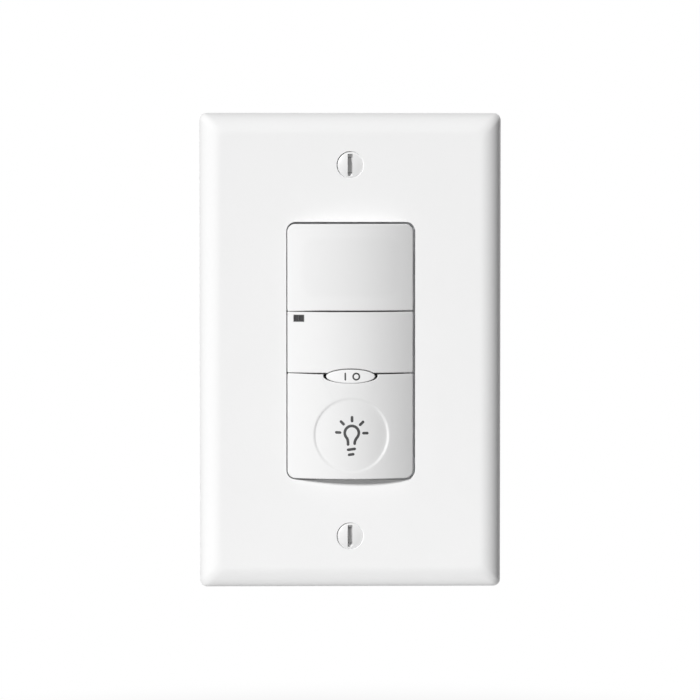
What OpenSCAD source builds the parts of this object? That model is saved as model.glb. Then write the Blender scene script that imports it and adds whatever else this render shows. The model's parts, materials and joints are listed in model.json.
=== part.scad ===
// Wall-mounted motion sensor light switch with its screw-on wall plate.
// X runs to the right, Y runs into the wall and Z runs up. The origin is the centre of the
// plate on the wall's surface, so the face is at negative Y and the housing at positive Y.

/* [Wall plate] */
// Width of the wall plate
plate_w = 78.8; // [72:0.1:90]
// Height of the wall plate
plate_h = 124.1; // [118:0.1:136]
// How far the plate stands out from the wall
plate_depth = 6.0; // [5.8:0.1:7]
// Radius of the plate's rounded shoulder
plate_shoulder_r = 5.8; // [3:0.1:6]
// Radius of the plate's four corners, seen from the front
plate_corner_r = 1.8; // [0.8:0.1:4]
// Thickness of the plate's front wall
plate_wall = 2.2; // [2.1:0.05:2.5]
// Width of the rim that meets the wall
plate_rim = 2.6; // [2:0.1:4]
// Distance between the two plate screws
plate_screw_spacing = 96.84; // [96.5:0.01:99]

/* [Device face] */
// Width of the face that shows in the plate
face_w = 32.7; // [31:0.1:36]
// Height of the face that shows in the plate
face_h = 66.3; // [64:0.1:68]
// Radius of the face's four corners
face_corner_r = 2.0; // [1:0.1:3]
// Gap between the face and the plate's opening
face_gap = 0.45; // [0.4:0.05:0.8]
// How far the side edges of the face stand in front of the plate
face_proud = 0.5; // [0.2:0.1:1.5]
// How far the middle of the face bulges beyond its side edges
face_bulge = 4.5; // [3.5:0.1:5]
// Gap between the lens, the cover and the button
seam_gap = 0.45; // [0.3:0.05:0.7]
// Height of the lens
lens_h = 22.6; // [18:0.1:24.5]
// Thickness of the lens
lens_t = 1.0; // [0.6:0.1:1.6]
// Height of the cover under the lens
cover_h = 15.7; // [13:0.1:17.5]
// Wall thickness of the cover and the button
face_wall = 1.6; // [1.2:0.1:2]

/* [Push button] */
// Diameter of the round finger dish
dish_d = 19.5; // [14:0.1:21]
// Depth of the finger dish at its middle
dish_depth = 0.2; // [0.1:0.05:0.5]
// Radius of the dish's curve from side to side
dish_curve_r = 26; // [23:1:28]
// Distance from the button's lower edge to the middle of the dish
dish_rise = 11.1; // [10.8:0.1:13]
// Angle that the button turns when it is pressed home
press_angle = 2.2; // [1.5:0.1:2.5]
// Distance from the button's upper edge to its hinge pins
pivot_drop = 3.0; // [2.6:0.1:4]
// Diameter of the hinge pins
pivot_d = 2.0; // [1.6:0.1:2.4]
// Outside diameter of the return springs
spring_d = 4.6; // [3.6:0.1:5]
// Diameter of the spring wire
spring_wire_d = 0.5; // [0.35:0.05:0.6]
// Turns of each return spring
spring_turns = 6; // [4:1:7]

/* [Badge and window] */
// Width of the oval badge on the seam
badge_w = 12.7; // [10:0.1:15]
// Height of the oval badge
badge_h = 3.9; // [3:0.1:5]
// How far the badge stands in front of the face
badge_proud = 0.35; // [0.1:0.05:0.8]
// Distance from the cover's lower edge down to the middle of the badge
badge_drop = 1.05; // [0.6:0.05:1.4]
// Width of the dark indicator window
window_w = 2.7; // [2.4:0.1:3.2]
// Height of the dark indicator window
window_h = 1.75; // [1.4:0.05:2.4]
// Distance from the face's left edge to the middle of the window
window_inset = 2.85; // [2.7:0.05:5]
// Distance from the cover's upper edge to the middle of the window
window_drop = 1.5; // [1.3:0.05:3]

/* [Mounting yoke] */
// Thickness of the steel yoke
yoke_t = 1.3; // [1:0.1:1.4]
// Length of the yoke
yoke_h = 106; // [104:0.5:112]
// Width of the yoke's ears
yoke_ear_w = 32; // [24:0.5:40]
// Distance between the two wall-box screws
box_screw_spacing = 83.34; // [82.5:0.01:83.8]
// Thread diameter of the plate and wall-box screws
screw_d = 3.5; // [3:0.1:3.6]
// Head diameter of the plate and wall-box screws
screw_head_d = 7.0; // [6.4:0.1:7.2]
// Length of the wall-box screws behind the yoke
box_screw_reach = 19; // [12:0.5:26]

/* [Rear housing] */
// Depth of the rear housing behind the wall's surface
housing_depth = 33; // [32:0.5:40]
// Wall thickness of the rear housing
housing_wall = 1.8; // [1.4:0.1:2.2]
// Thread diameter of the four long housing screws
housing_screw_d = 2.5; // [2:0.1:2.8]
// Distance from the middle of the housing to a terminal
terminal_z = 12; // [8:0.5:16]
// Head diameter of the terminal screws
terminal_head_d = 7.2; // [6:0.1:8]

/* [Circuit boards] */
// Thickness of both circuit boards
board_t = 1.6; // [1:0.1:2]
// Distance from the wall's surface to the sensor board
sensor_board_y = 7.0; // [6.6:0.1:8]
// Distance from the wall's surface to the power board
power_board_y = 14.0; // [13.4:0.1:15]
// Diameter of the infrared sensor's flange
pir_d = 9.2; // [8:0.1:10]
// Height of the infrared sensor's can
pir_h = 4.2; // [3.5:0.1:5]

/* [Hidden] */
$fn = 64;

// A cut runs this far past the face that it opens.
over = 1;
// Clearance between pieces that sit still in each other.
fit_gap = 0.05;
// Clearance around pieces that drop into a pocket.
loose_gap = 0.25;
// Clearance of a thread in its tapped hole.
thread_gap = 0.02;

// Planes along Y, from the front to the back.
face_seat_depth = 1.0;
yoke_inset = 0.3;
flange_t = 2.0;
column_skirt = 1.4;
plate_front_y = -plate_depth;
face_edge_y = plate_front_y - face_proud;
face_crown_y = face_edge_y - face_bulge;
face_radius = (pow(face_w / 2, 2) + pow(face_bulge, 2)) / (2 * face_bulge);
face_axis_y = face_crown_y + face_radius;
face_seat_y = plate_front_y + face_seat_depth;
yoke_back_y = -yoke_inset;
yoke_front_y = yoke_back_y - yoke_t;
flange_back_y = yoke_back_y + flange_t;
sensor_board_back_y = sensor_board_y + board_t;
column_back_y = sensor_board_back_y + column_skirt;
power_board_back_y = power_board_y + board_t;

// Heights along Z, from the top to the bottom.
face_top = face_h / 2;
face_bottom = -face_h / 2;
lens_bottom = face_top - lens_h;
cover_top = lens_bottom - seam_gap;
cover_bottom = cover_top - cover_h;
button_top = cover_bottom - seam_gap;
lens_z = (lens_bottom + face_top) / 2;
cover_z = (cover_bottom + cover_top) / 2;
dish_z = face_bottom + dish_rise;
pivot_z = button_top - pivot_drop;
badge_z = cover_bottom - badge_drop;
window_x = -face_w / 2 + window_inset;
window_z = cover_top - window_drop;

// The hinge of the button, and the room that its free end needs.
pivot_y = -1.0;
pivot_clear = 0.05;
press_spare = 0.3;
press_room = (pivot_z - face_bottom) * sin(press_angle) + press_spare;
press_stroke = (pivot_z - dish_z) * sin(press_angle);
button_relief_y = face_seat_y + press_room;

// The tact switch, and the post on the button that presses it.
tact_side = 6.0;
tact_h = 3.5;
tact_front_y = sensor_board_y - tact_h;
plunger_d = 3.4;
plunger_reach = 1.5;
plunger_front_y = tact_front_y - plunger_reach;
plunger_seat = 1.0;
plunger_spare = 0.1;
post_d = 2.6;
post_clear = 0.1;
post_hole_clear = 0.8;
post_hole_d = plunger_d + 2 * post_hole_clear;

// The chassis is a column that carries the face, and a flange behind the yoke.
column_inset = 0.2;
column_wall = 1.6;
column_w = face_w - 2 * column_inset;
column_h = face_h - 2 * column_inset;
column_in_w = column_w - 2 * column_wall;
column_in_h = column_h - 2 * column_wall;
column_in_r = face_corner_r / 2;
web_t = 1.4;
floor_t = 1.4;
floor_gap = 0.1;
floor_front_y = tact_front_y - floor_t - floor_gap;
ledge = 4.0;
ledge_x = column_in_w / 2 - ledge / 2;
ledge_z = column_in_h / 2 - ledge / 2;

// The lugs of the button's hinge stand inside the column.
lug_t = 1.5;
lug_gap = 0.3;
lug_rim = 1.0;
lug_sink = 0.4;
lug_x = column_in_w / 2 - lug_gap;
lug_r = pivot_d / 2 + lug_rim;
pin_inset = 0.15;

// The two return springs stand beside the post.
spring_x = 8.0;
spring_below = 2.0;
spring_z = dish_z - spring_below;
spring_seat_drop = 0.5;
spring_seat_y = face_edge_y + spring_seat_drop;
spring_gap = 0.02;
spring_peg_gap = 0.3;
spring_peg_d = spring_d - 2 * spring_wire_d - 2 * spring_peg_gap;
spring_peg_h = 1.5;
spring_collar_rim = 0.3;
spring_collar_d = spring_d + 2 * spring_collar_rim;

// Snap legs hold the lens and the cover in windows of the chassis.
lens_side = 1.2;
leg_t = 1.25;
leg_w = 4.5;
leg_gap = 0.2;
leg_root = 0.8;
leg_x = column_in_w / 2 - leg_gap;
leg_end_y = -0.6;
barb_h = 0.8;
barb_l = 1.3;
cover_leg_drop = 1.0;
cover_leg_z = cover_z - cover_leg_drop;

// The badge has a tab behind the cover, which two pins of the cover pass through.
badge_gap = 0.12;
notch_side = 0.7;
notch_under = 0.2;
tab_t = 1.1;
tab_gap = 0.15;
tab_half_w = 4.2;
tab_land = 1.4;
tab_front_y = face_axis_y - sqrt(pow(face_radius - face_wall, 2) - pow(tab_half_w, 2)) + tab_gap;
tab_back_y = tab_front_y + tab_t;
stake_r = 0.6;
stake_x = 2.6;
stake_proud = 0.4;
stake_rise = 1.8;
stake_z = cover_bottom + face_wall + stake_rise;

// Plate screws and wall-box screws.
screw_r = screw_d / 2;
head_r = screw_head_d / 2;
countersink_gap = 0.2;
countersink_half_angle = 41;
countersink_depth = (head_r - screw_r) / tan(countersink_half_angle);
collar_wall = 0.95;
collar_gap = 0.1;
dome_h = 0.6;
screw_slot_w = 1.25;
screw_slot_depth = 1.0;
plate_screw_len = 13;
box_head_h = 1.7;
box_neck_cut = 0.3;
box_neck_r = screw_r - box_neck_cut;
box_neck_len = 1.0;
retainer_side = 9;
retainer_t = 0.5;

// Four long screws clamp the housing and the chassis to the yoke.
yoke_window_gap = 0.3;
yoke_land = 0.6;
yoke_corner_r = 3;
housing_screw_r = housing_screw_d / 2;
housing_boss_wall = 0.8;
housing_boss_r = housing_screw_r + housing_boss_wall;
housing_head_rim = 0.65;
housing_head_r = housing_screw_r + housing_head_rim;
housing_head_h = 1.6;
housing_head_sunk = 0.6;
housing_head_gap = 0.2;
housing_edge = 0.65;
housing_screw_x = column_w / 2 + yoke_window_gap + yoke_land + housing_screw_r;
housing_w = 2 * (housing_screw_x + housing_boss_r + housing_edge);
housing_h = column_h + 2 * (loose_gap + housing_wall);
housing_screw_drop = 7;
housing_screw_z = housing_h / 2 - housing_screw_drop;
housing_in_w = housing_w - 2 * housing_wall;
housing_in_h = housing_h - 2 * housing_wall;
yoke_side_lip = 0.3;
yoke_end_lip = 1.0;
yoke_body_w = housing_w + 2 * yoke_side_lip;
yoke_body_h = housing_h + 2 * yoke_end_lip;

// A tab bent back from the yoke takes the ground screw.
ground_tab_w = 11;
ground_tab_x = -yoke_body_w / 2 - yoke_t;
ground_tab_rise = 8;
ground_tab_z = -housing_h / 2 + ground_tab_rise;
ground_tab_reach = 12;
ground_screw_y = 6.5;
ground_head_h = 1.8;
ground_washer_t = 0.6;
ground_tip = 0.9;
ground_dimple = 1.1;

// The housing is narrower behind the power board, and its thick sides hold the terminals.
shoulder_step = 1.6;
shoulder_y = power_board_back_y + shoulder_step;
housing_floor_y = housing_depth - housing_wall;
pocket_depth = 4.9;
pocket_h = 12;
pocket_wall = 1.5;
pocket_floor_x = housing_w / 2 - pocket_depth;
pocket_y0 = shoulder_y + pocket_wall;
pocket_y1 = housing_floor_y - pocket_wall;
bay_half_w = pocket_floor_x - pocket_wall;
terminal_y = (pocket_y0 + pocket_y1) / 2;
terminal_plate_t = 1.0;
terminal_plate_h = 9;
terminal_plate_gap = 0.5;
terminal_tab_w = 4;
terminal_tab_t = 0.9;
terminal_tab_in = 4.5;
terminal_shank_r = 2.0;
terminal_shank_gap = 0.15;
terminal_tip = 0.5;
terminal_head_h = 1.9;
terminal_slot_w = 1.2;
terminal_slot_depth = 0.9;
wire_space = 1.6;

// The two boards and their small screws.
board_corner_r = 1.5;
small_screw_r = 0.95;
small_hole_r = 1.2;
small_head_r = 1.8;
small_head_h = 1.2;
small_screw_bite = 3.5;
small_pilot = 4.0;
sensor_board_w = column_in_w - 2 * loose_gap;
sensor_board_h = column_in_h - 2 * loose_gap;
power_board_w = 2 * (housing_screw_x - housing_boss_r - loose_gap);
power_board_end_gap = 2;
power_board_h = housing_in_h - 2 * power_board_end_gap;
power_post_r = 2.0;
power_post_sink = 0.6;
power_post_x = bay_half_w - power_post_r + power_post_sink;
power_post_inset = 2.6;
power_post_z = power_board_h / 2 - power_post_inset;

// Parts on the sensor board.
pir_drop = 0.5;
pir_z = lens_z - pir_drop;
pir_flange_rim = 0.5;
pir_can_r = pir_d / 2 - pir_flange_rim;
pir_flange_t = 0.6;
pir_spacer_t = 1.5;
pir_seat_y = sensor_board_y - pir_spacer_t;
pir_front_y = pir_seat_y - pir_h;
pir_window_w = 4.0;
pir_window_h = 3.0;
pir_window_t = 0.5;
trimmer_x = 6.0;
trimmer_drop = 1.0;
trimmer_z = cover_z - trimmer_drop;
trimmer_side = 5.0;
trimmer_h = 2.2;
trimmer_front_y = sensor_board_y - trimmer_h;
rotor_r = 1.5;
rotor_proud = 0.5;
rotor_seat = 1.2;
rotor_slot_w = 0.5;
cell_frame = 0.22;
cell_w = (window_w - 3 * cell_frame) / 2;
cell_h = window_h - 2 * cell_frame;
cell_pitch = cell_w + cell_frame;
cell_sunk = 0.15;
pipe_gap = 0.03;
chip_t = 0.7;
chip_h = 1.6;
controller_side = 7.0;
controller_t = 1.0;
header_w = 16;
header_t = 2.5;
header_lip = 0.3;
header_plug_h = 2.0;
header_rise = 6;
header_z = face_bottom + header_rise;
header_split_y = power_board_y - header_plug_h;

// Parts on the power board, each with its size and its place on the board.
// The tall ones stand in the bay behind the board, under the headroom that the housing leaves.
bay_headroom = 3.1;
tall_part_h = housing_floor_y - power_board_back_y - bay_headroom;
relay_spare = 0.2;
relay_size = [10.5, tall_part_h - relay_spare, 28.5];
relay_x = -6.75;
relay_z = 10.25;
film_spare = 0.5;
film_size = [6, tall_part_h - film_spare, 13.5];
film_x = 6;
film_z = 17.75;
can_r = 4.2;
can_spare = 0.5;
can_h = tall_part_h - can_spare;
can_x = 6.5;
can_z = [5, -5];
core_x = -6.5;
core_z = -14;
core_lift = 1.5;
core_size = [12, tall_part_h - core_lift, 15];
core_back = 2.0;
coil_w = 3.4;
coil_offset = 4.2;
coil_gap = 0.1;
cheek_t = 1.4;
cheek_h = 13;
varistor_r = 4.5;
varistor_t = 3.5;
varistor_x = 6.25;
varistor_z = -15;
lead_r = 0.4;
varistor_lead = 2.5;
varistor_lift = 2.0;
fuse_r = 1.9;
fuse_l = 7;
fuse_x = 6.5;
fuse_z = -23.5;
fuse_lift = 0.3;
fuse_lead = 3.0;

// Extrudes an outline drawn in X and Z along Y.
module along_y(y0, y1) {
    translate([0, y1, 0]) rotate([90, 0, 0]) linear_extrude(y1 - y0) children();
}

// Extrudes an outline drawn in X and Y along Z.
module along_z(z0, z1) {
    translate([0, 0, z0]) linear_extrude(z1 - z0) children();
}

// A round bar along Y at a place in X and Z.
module rod_y(x, z, r, y0, y1) {
    translate([x, y1, z]) rotate([90, 0, 0]) cylinder(r = r, h = y1 - y0);
}

// A round bar along X at a place in Y and Z.
module rod_x(y, z, r, x0, x1) {
    translate([x0, y, z]) rotate([0, 90, 0]) cylinder(r = r, h = x1 - x0);
}

// A box from one corner to the other.
module block(x0, x1, y0, y1, z0, z1) {
    translate([x0, y0, z0]) cube([x1 - x0, y1 - y0, z1 - z0]);
}

// A box of a given size that stands on the plane y, centred in X and Z.
module part_on(x, y, z, size) {
    translate([x - size[0] / 2, y, z - size[2] / 2]) cube(size);
}

// A rectangle with round corners, centred.
module rounded_rect(w, h, r) {
    square([w - 2 * r, h], center = true);
    square([w, h - 2 * r], center = true);
    for (sx = [-1, 1], sy = [-1, 1])
        translate([sx * (w / 2 - r), sy * (h / 2 - r)]) circle(r = r);
}

// An ellipse from its two half axes, centred.
module oval(a, b) {
    steps = 48;
    polygon([for (i = [0:steps - 1]) [a * cos(i * 360 / steps), b * sin(i * 360 / steps)]]);
}

// The children, and their mirror image across X = 0.
module both_sides() {
    children();
    mirror([1, 0, 0]) children();
}

// The section of the plate across one side: a flat front with two round shoulders.
// The shoulders reach a little past the side, so that they meet it at a slight angle.
module shoulder_section(width) {
    reach = 0.15;
    half = width / 2 + reach;
    round_y = plate_front_y + plate_shoulder_r;
    for (s = [-1, 1])
        translate([s * (half - plate_shoulder_r), round_y]) circle(r = plate_shoulder_r);
    translate([-half + plate_shoulder_r, plate_front_y])
        square([2 * (half - plate_shoulder_r), plate_shoulder_r]);
    translate([-half, round_y]) square([2 * half, over - round_y]);
}

// The solid outside shape of the plate.
module plate_block() {
    intersection() {
        along_y(plate_front_y - over, 0) rounded_rect(plate_w, plate_h, plate_corner_r);
        along_z(-plate_h / 2 - over, plate_h / 2 + over) shoulder_section(plate_w);
        rotate([0, 90, 0]) along_z(-plate_w / 2 - over, plate_w / 2 + over)
            shoulder_section(plate_h);
    }
}

module wall_plate() {
    hole_r = screw_r + countersink_gap;
    mouth_r = head_r + countersink_gap;
    color("white") difference() {
        union() {
            difference() {
                plate_block();
                along_y(plate_front_y + plate_wall, over)
                    rounded_rect(plate_w - 2 * plate_rim, plate_h - 2 * plate_rim, plate_corner_r);
            }
            for (s = [-1, 1])
                rod_y(0, s * plate_screw_spacing / 2, hole_r + collar_wall,
                    plate_front_y + plate_wall / 2, yoke_front_y - collar_gap);
        }
        along_y(plate_front_y - over, over)
            rounded_rect(face_w + 2 * face_gap, face_h + 2 * face_gap, face_corner_r + face_gap);
        for (s = [-1, 1]) translate([0, plate_front_y, s * plate_screw_spacing / 2])
            rotate([-90, 0, 0]) {
                cylinder(r1 = mouth_r, r2 = hole_r, h = countersink_depth);
                translate([0, 0, -over]) cylinder(r = hole_r, h = plate_depth + over);
                translate([0, 0, -over]) cylinder(r = mouth_r, h = over);
            }
    }
}

// One oval-head screw along Y, with the edge of its head at Y = 0: a ball cut to a cone, and a shank.
module plate_screw() {
    dome_r = (head_r * head_r + dome_h * dome_h) / (2 * dome_h);
    cone_slope = tan(countersink_half_angle);
    cone_front = dome_h + over;
    cone_run = 0.2;
    cone_back = countersink_depth + cone_run;
    difference() {
        union() {
            intersection() {
                translate([0, dome_r - dome_h, 0]) sphere(r = dome_r);
                translate([0, -cone_front, 0]) rotate([-90, 0, 0])
                    cylinder(r1 = head_r + cone_front * cone_slope, r2 = head_r - cone_back * cone_slope,
                        h = cone_front + cone_back);
            }
            rod_y(0, 0, screw_r, countersink_depth / 2, plate_screw_len);
        }
        block(-screw_slot_w / 2, screw_slot_w / 2, -dome_h - over, screw_slot_depth - dome_h,
            -head_r - over, head_r + over);
    }
}

module plate_screws() {
    color("whitesmoke") for (s = [-1, 1])
        translate([0, plate_front_y, s * plate_screw_spacing / 2]) plate_screw();
}

// The section of the bulging face: an arc in front and a flat back.
module face_section(r, half_w, back_y) {
    intersection() {
        translate([0, face_axis_y]) circle(r = r, $fn = 128);
        translate([-half_w, face_axis_y - r - over])
            square([2 * half_w, back_y - face_axis_y + r + over]);
    }
}

// A shell of the face between two heights, open at the back.
module face_cap(z0, z1, front_t, side_t) {
    difference() {
        intersection() {
            along_z(z0, z1) face_section(face_radius, face_w / 2 + over, face_seat_y);
            along_y(face_crown_y - over, face_seat_y + over)
                rounded_rect(face_w, face_h, face_corner_r);
        }
        along_z(max(z0, face_bottom) + side_t, min(z1, face_top) - side_t)
            face_section(face_radius - front_t, face_w / 2 - side_t, face_seat_y + over);
    }
}

// A snap leg on the right side, with its barb, that hangs on a shell of the face.
module snap_leg(z) {
    z0 = z - leg_w / 2;
    z1 = z + leg_w / 2;
    root_y = face_seat_y - leg_root;
    block(leg_x - leg_t, leg_x, root_y, leg_end_y, z0, z1);
    block(leg_x - leg_t, leg_x + column_wall, root_y, face_seat_y, z0, z1);
    along_z(z0, z1) polygon([
        [leg_x - leg_t / 2, leg_end_y],
        [leg_x, leg_end_y],
        [leg_x + barb_h, leg_end_y - barb_l / 2],
        [leg_x + barb_h, leg_end_y - barb_l],
        [leg_x - leg_t / 2, leg_end_y - barb_l]
    ]);
}

// The window in the chassis that the barb of a snap leg drops into.
module snap_window(z) {
    block(column_in_w / 2 - over, column_w / 2 + over, leg_end_y - barb_l - loose_gap,
        leg_end_y + loose_gap, z - leg_w / 2 - loose_gap, z + leg_w / 2 + loose_gap);
}

module fresnel_lens() {
    color("white") {
        face_cap(lens_bottom, face_top + over, lens_t, lens_side);
        both_sides() snap_leg(lens_z);
    }
}

// The two pins inside the cover that hold the badge's tab.
module stake_pins(r) {
    both_sides() rod_y(stake_x, stake_z, r, face_crown_y + face_wall / 2, tab_back_y + stake_proud);
}

module middle_cover() {
    color("white") difference() {
        union() {
            face_cap(cover_bottom, cover_top, face_wall, face_wall);
            both_sides() snap_leg(cover_leg_z);
            stake_pins(stake_r);
        }
        translate([0, 0, badge_z]) along_y(face_crown_y - over, face_seat_y + over)
            oval(badge_w / 2 + badge_gap, badge_h / 2 + badge_gap);
        block(-tab_half_w - badge_gap, tab_half_w + badge_gap, tab_front_y - badge_gap,
            face_seat_y + over, cover_bottom - over, cover_bottom + face_wall + badge_gap);
        translate([window_x, 0, window_z]) along_y(face_crown_y - over, face_seat_y + over)
            square([window_w + 2 * fit_gap, window_h + 2 * fit_gap], center = true);
    }
}

module oval_badge() {
    color("white") difference() {
        union() {
            intersection() {
                translate([0, 0, badge_z]) along_y(face_crown_y - over, tab_back_y)
                    oval(badge_w / 2, badge_h / 2);
                along_z(badge_z - badge_h, badge_z + badge_h)
                    face_section(face_radius + badge_proud, face_w, tab_back_y + over);
            }
            block(-tab_half_w, tab_half_w, tab_front_y, tab_back_y, badge_z, stake_z + tab_land);
        }
        stake_pins(stake_r + fit_gap);
    }
}

// What the finger dish takes away: a round recess whose floor bends a little more than the face.
module dish_cut() {
    floor_y = face_crown_y + dish_depth;
    difference() {
        rod_y(0, dish_z, dish_d / 2, face_crown_y - over, floor_y + face_bulge);
        translate([0, floor_y + dish_curve_r, dish_z - dish_d])
            cylinder(r = dish_curve_r, h = 2 * dish_d, $fn = 128);
    }
}

// On the button's right: a hinge lug with its pin, and a collar and peg for a return spring.
module button_side() {
    block(lug_x - lug_t, lug_x, face_edge_y - lug_sink, pivot_y, pivot_z - lug_r, pivot_z + lug_r);
    rod_x(pivot_y, pivot_z, lug_r, lug_x - lug_t, lug_x);
    rod_x(pivot_y, pivot_z, pivot_d / 2, lug_x - lug_t / 2, column_w / 2 - pin_inset);
    intersection() {
        rod_y(spring_x, spring_z, spring_collar_d / 2, face_crown_y, spring_seat_y);
        along_z(spring_z - spring_collar_d, spring_z + spring_collar_d)
            face_section(face_radius - face_wall / 2, face_w / 2, spring_seat_y + over);
    }
    rod_y(spring_x, spring_z, spring_peg_d / 2, spring_seat_y - spring_peg_h / 2,
        spring_seat_y + spring_peg_h);
}

module push_button() {
    color("white") difference() {
        union() {
            face_cap(face_bottom - over, button_top, face_wall, face_wall);
            rod_y(0, dish_z, post_d / 2, face_crown_y + dish_depth + face_wall / 2,
                plunger_front_y - post_clear);
            both_sides() button_side();
        }
        dish_cut();
        translate([0, 0, badge_z]) along_y(face_crown_y - over, face_seat_y + over)
            oval(badge_w / 2 + notch_side, badge_h / 2 + notch_under);
    }
}

module window_bezel() {
    color("dimgray") difference() {
        intersection() {
            translate([window_x, 0, window_z]) along_y(face_crown_y - over, face_seat_y)
                square([window_w, window_h], center = true);
            along_z(window_z - window_h, window_z + window_h)
                face_section(face_radius + fit_gap, face_w, face_seat_y + over);
        }
        for (s = [-1, 1]) translate([window_x + s * cell_pitch / 2, 0, window_z])
            along_y(face_crown_y - over, face_seat_y + over)
                square([cell_w, cell_h], center = true);
    }
}

// A clear bar from a cell of the window back to its part on the sensor board.
module light_pipe(side) {
    back_y = sensor_board_y - chip_t - fit_gap;
    intersection() {
        translate([window_x + side * cell_pitch / 2, 0, window_z]) along_y(face_crown_y - over, back_y)
            square([cell_w - 2 * pipe_gap, cell_h - 2 * pipe_gap], center = true);
        along_z(window_z - window_h, window_z + window_h)
            face_section(face_radius - cell_sunk, face_w, back_y + over);
    }
}

module led_light_pipe() {
    color("gray") light_pipe(-1);
}

module photocell_light_pipe() {
    color("gray") light_pipe(1);
}

// One of the four corner blocks inside the column that the sensor board rests on.
module board_ledge(side) {
    translate([ledge_x, 0, side * ledge_z]) along_y(floor_front_y, sensor_board_y)
        square(ledge + 2 * fit_gap, center = true);
}

// A wall across the inside of the column, behind a seam of the face.
module seam_web(z) {
    block(-column_in_w / 2 - fit_gap, column_in_w / 2 + fit_gap, button_relief_y,
        floor_front_y + floor_t, z - web_t / 2, z + web_t / 2);
}

module front_chassis() {
    button_seam_z = button_top + seam_gap / 2;
    pipe_room = window_h / 2 + loose_gap;
    color("white") difference() {
        union() {
            difference() {
                union() {
                    along_y(face_seat_y, column_back_y)
                        rounded_rect(column_w, column_h, face_corner_r);
                    along_y(yoke_back_y, flange_back_y)
                        rounded_rect(housing_w, housing_h, yoke_corner_r);
                }
                along_y(face_seat_y - over, column_back_y + over)
                    rounded_rect(column_in_w, column_in_h, column_in_r);
            }
            seam_web(lens_bottom - seam_gap / 2);
            seam_web(button_seam_z);
            block(-column_in_w / 2 - fit_gap, column_in_w / 2 + fit_gap, floor_front_y,
                floor_front_y + floor_t, -column_in_h / 2 - fit_gap, button_seam_z);
            both_sides() for (s = [-1, 1]) board_ledge(s);
        }
        // Room for the free end of the button when it is pressed.
        block(-face_w, face_w, face_seat_y - over, button_relief_y, -face_h, button_seam_z);
        both_sides() {
            rod_x(pivot_y, pivot_z, pivot_d / 2 + pivot_clear, column_in_w / 2 - over,
                column_w / 2 + over);
            snap_window(lens_z);
            snap_window(cover_leg_z);
            for (s = [-1, 1]) {
                rod_y(housing_screw_x, s * housing_screw_z, housing_screw_r + fit_gap,
                    yoke_back_y - over, flange_back_y + over);
                rod_y(ledge_x, s * ledge_z, small_screw_r + fit_gap, sensor_board_y - small_pilot,
                    sensor_board_y + over);
            }
        }
        rod_y(0, dish_z, post_hole_d / 2, floor_front_y - over, floor_front_y + floor_t + over);
        block(window_x - window_w / 2 - loose_gap, window_x + window_w / 2, face_seat_y - over,
            sensor_board_y + over, window_z - pipe_room, window_z + pipe_room);
    }
}

// A round wire wound along Y between two planes, at a place in X and Z.
module coil_spring(x, z, y0, y1) {
    sides = 6;
    per_turn = 8;
    rings = per_turn * spring_turns;
    r = (spring_d - spring_wire_d) / 2;
    wire_r = spring_wire_d / 2;
    rise = (y1 - y0 - spring_wire_d) / rings;
    points = [for (i = [0:rings], j = [0:sides - 1])
        let (turn = i * 360 / per_turn, a = j * 360 / sides, d = r + wire_r * cos(a))
        [x + d * cos(turn), y0 + wire_r + i * rise + wire_r * sin(a), z + d * sin(turn)]];
    skin = [for (i = [0:rings - 1], j = [0:sides - 1])
        let (a = i * sides + j, b = i * sides + (j + 1) % sides)
        each [[a, a + sides, b + sides], [a, b + sides, b]]];
    first = [for (j = [1:sides - 2]) [0, j, j + 1]];
    last = [for (j = [1:sides - 2]) rings * sides * [1, 1, 1] + [0, j + 1, j]];
    turn_gaps = [for (i = [0:rings - per_turn], j = [0:sides - 1], k = [0:sides - 1])
        norm(points[(i + per_turn) * sides + k] - points[i * sides + j])];
    echo(least_gap_between_turns = min(turn_gaps));
    polyhedron(points, concat(skin, first, last));
}

module button_springs() {
    color("silver") for (s = [-1, 1])
        coil_spring(s * spring_x, spring_z, spring_seat_y + spring_gap, floor_front_y - spring_gap);
}

// The flat outline of the yoke in X and Z.
module yoke_outline() {
    rounded_rect(yoke_body_w, yoke_body_h, yoke_corner_r);
    rounded_rect(yoke_ear_w, yoke_h, yoke_corner_r);
}

// The tab at the yoke's lower left that is bent back for the ground screw.
module ground_tab() {
    z0 = ground_tab_z - ground_tab_w / 2;
    z1 = ground_tab_z + ground_tab_w / 2;
    block(ground_tab_x, ground_tab_x + yoke_t, yoke_front_y, ground_tab_reach, z0, z1);
    block(ground_tab_x, ground_tab_x + yoke_t + over, yoke_front_y, yoke_back_y, z0, z1);
}

module mounting_yoke() {
    slot_half = 1.6;
    slot_gap = 0.35;
    slot_r = screw_r + slot_gap;
    color("lightgray") difference() {
        union() {
            along_y(yoke_front_y, yoke_back_y) yoke_outline();
            ground_tab();
        }
        along_y(yoke_front_y - over, yoke_back_y + over) {
            rounded_rect(column_w + 2 * yoke_window_gap, column_h + 2 * yoke_window_gap,
                face_corner_r + yoke_window_gap);
            for (s = [-1, 1]) translate([0, s * box_screw_spacing / 2]) {
                for (e = [-1, 1]) translate([e * slot_half, 0]) circle(r = slot_r);
                square([2 * slot_half, 2 * slot_r], center = true);
            }
        }
        for (s = [-1, 1]) {
            rod_y(0, s * plate_screw_spacing / 2, screw_r + thread_gap, yoke_front_y - over,
                yoke_back_y + over);
            both_sides() rod_y(housing_screw_x, s * housing_screw_z, housing_screw_r + thread_gap,
                yoke_front_y - over, yoke_back_y + over);
        }
        rod_x(ground_screw_y, ground_tab_z, screw_r + thread_gap, ground_tab_x - over,
            ground_tab_x + yoke_t + over);
    }
}

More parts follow.
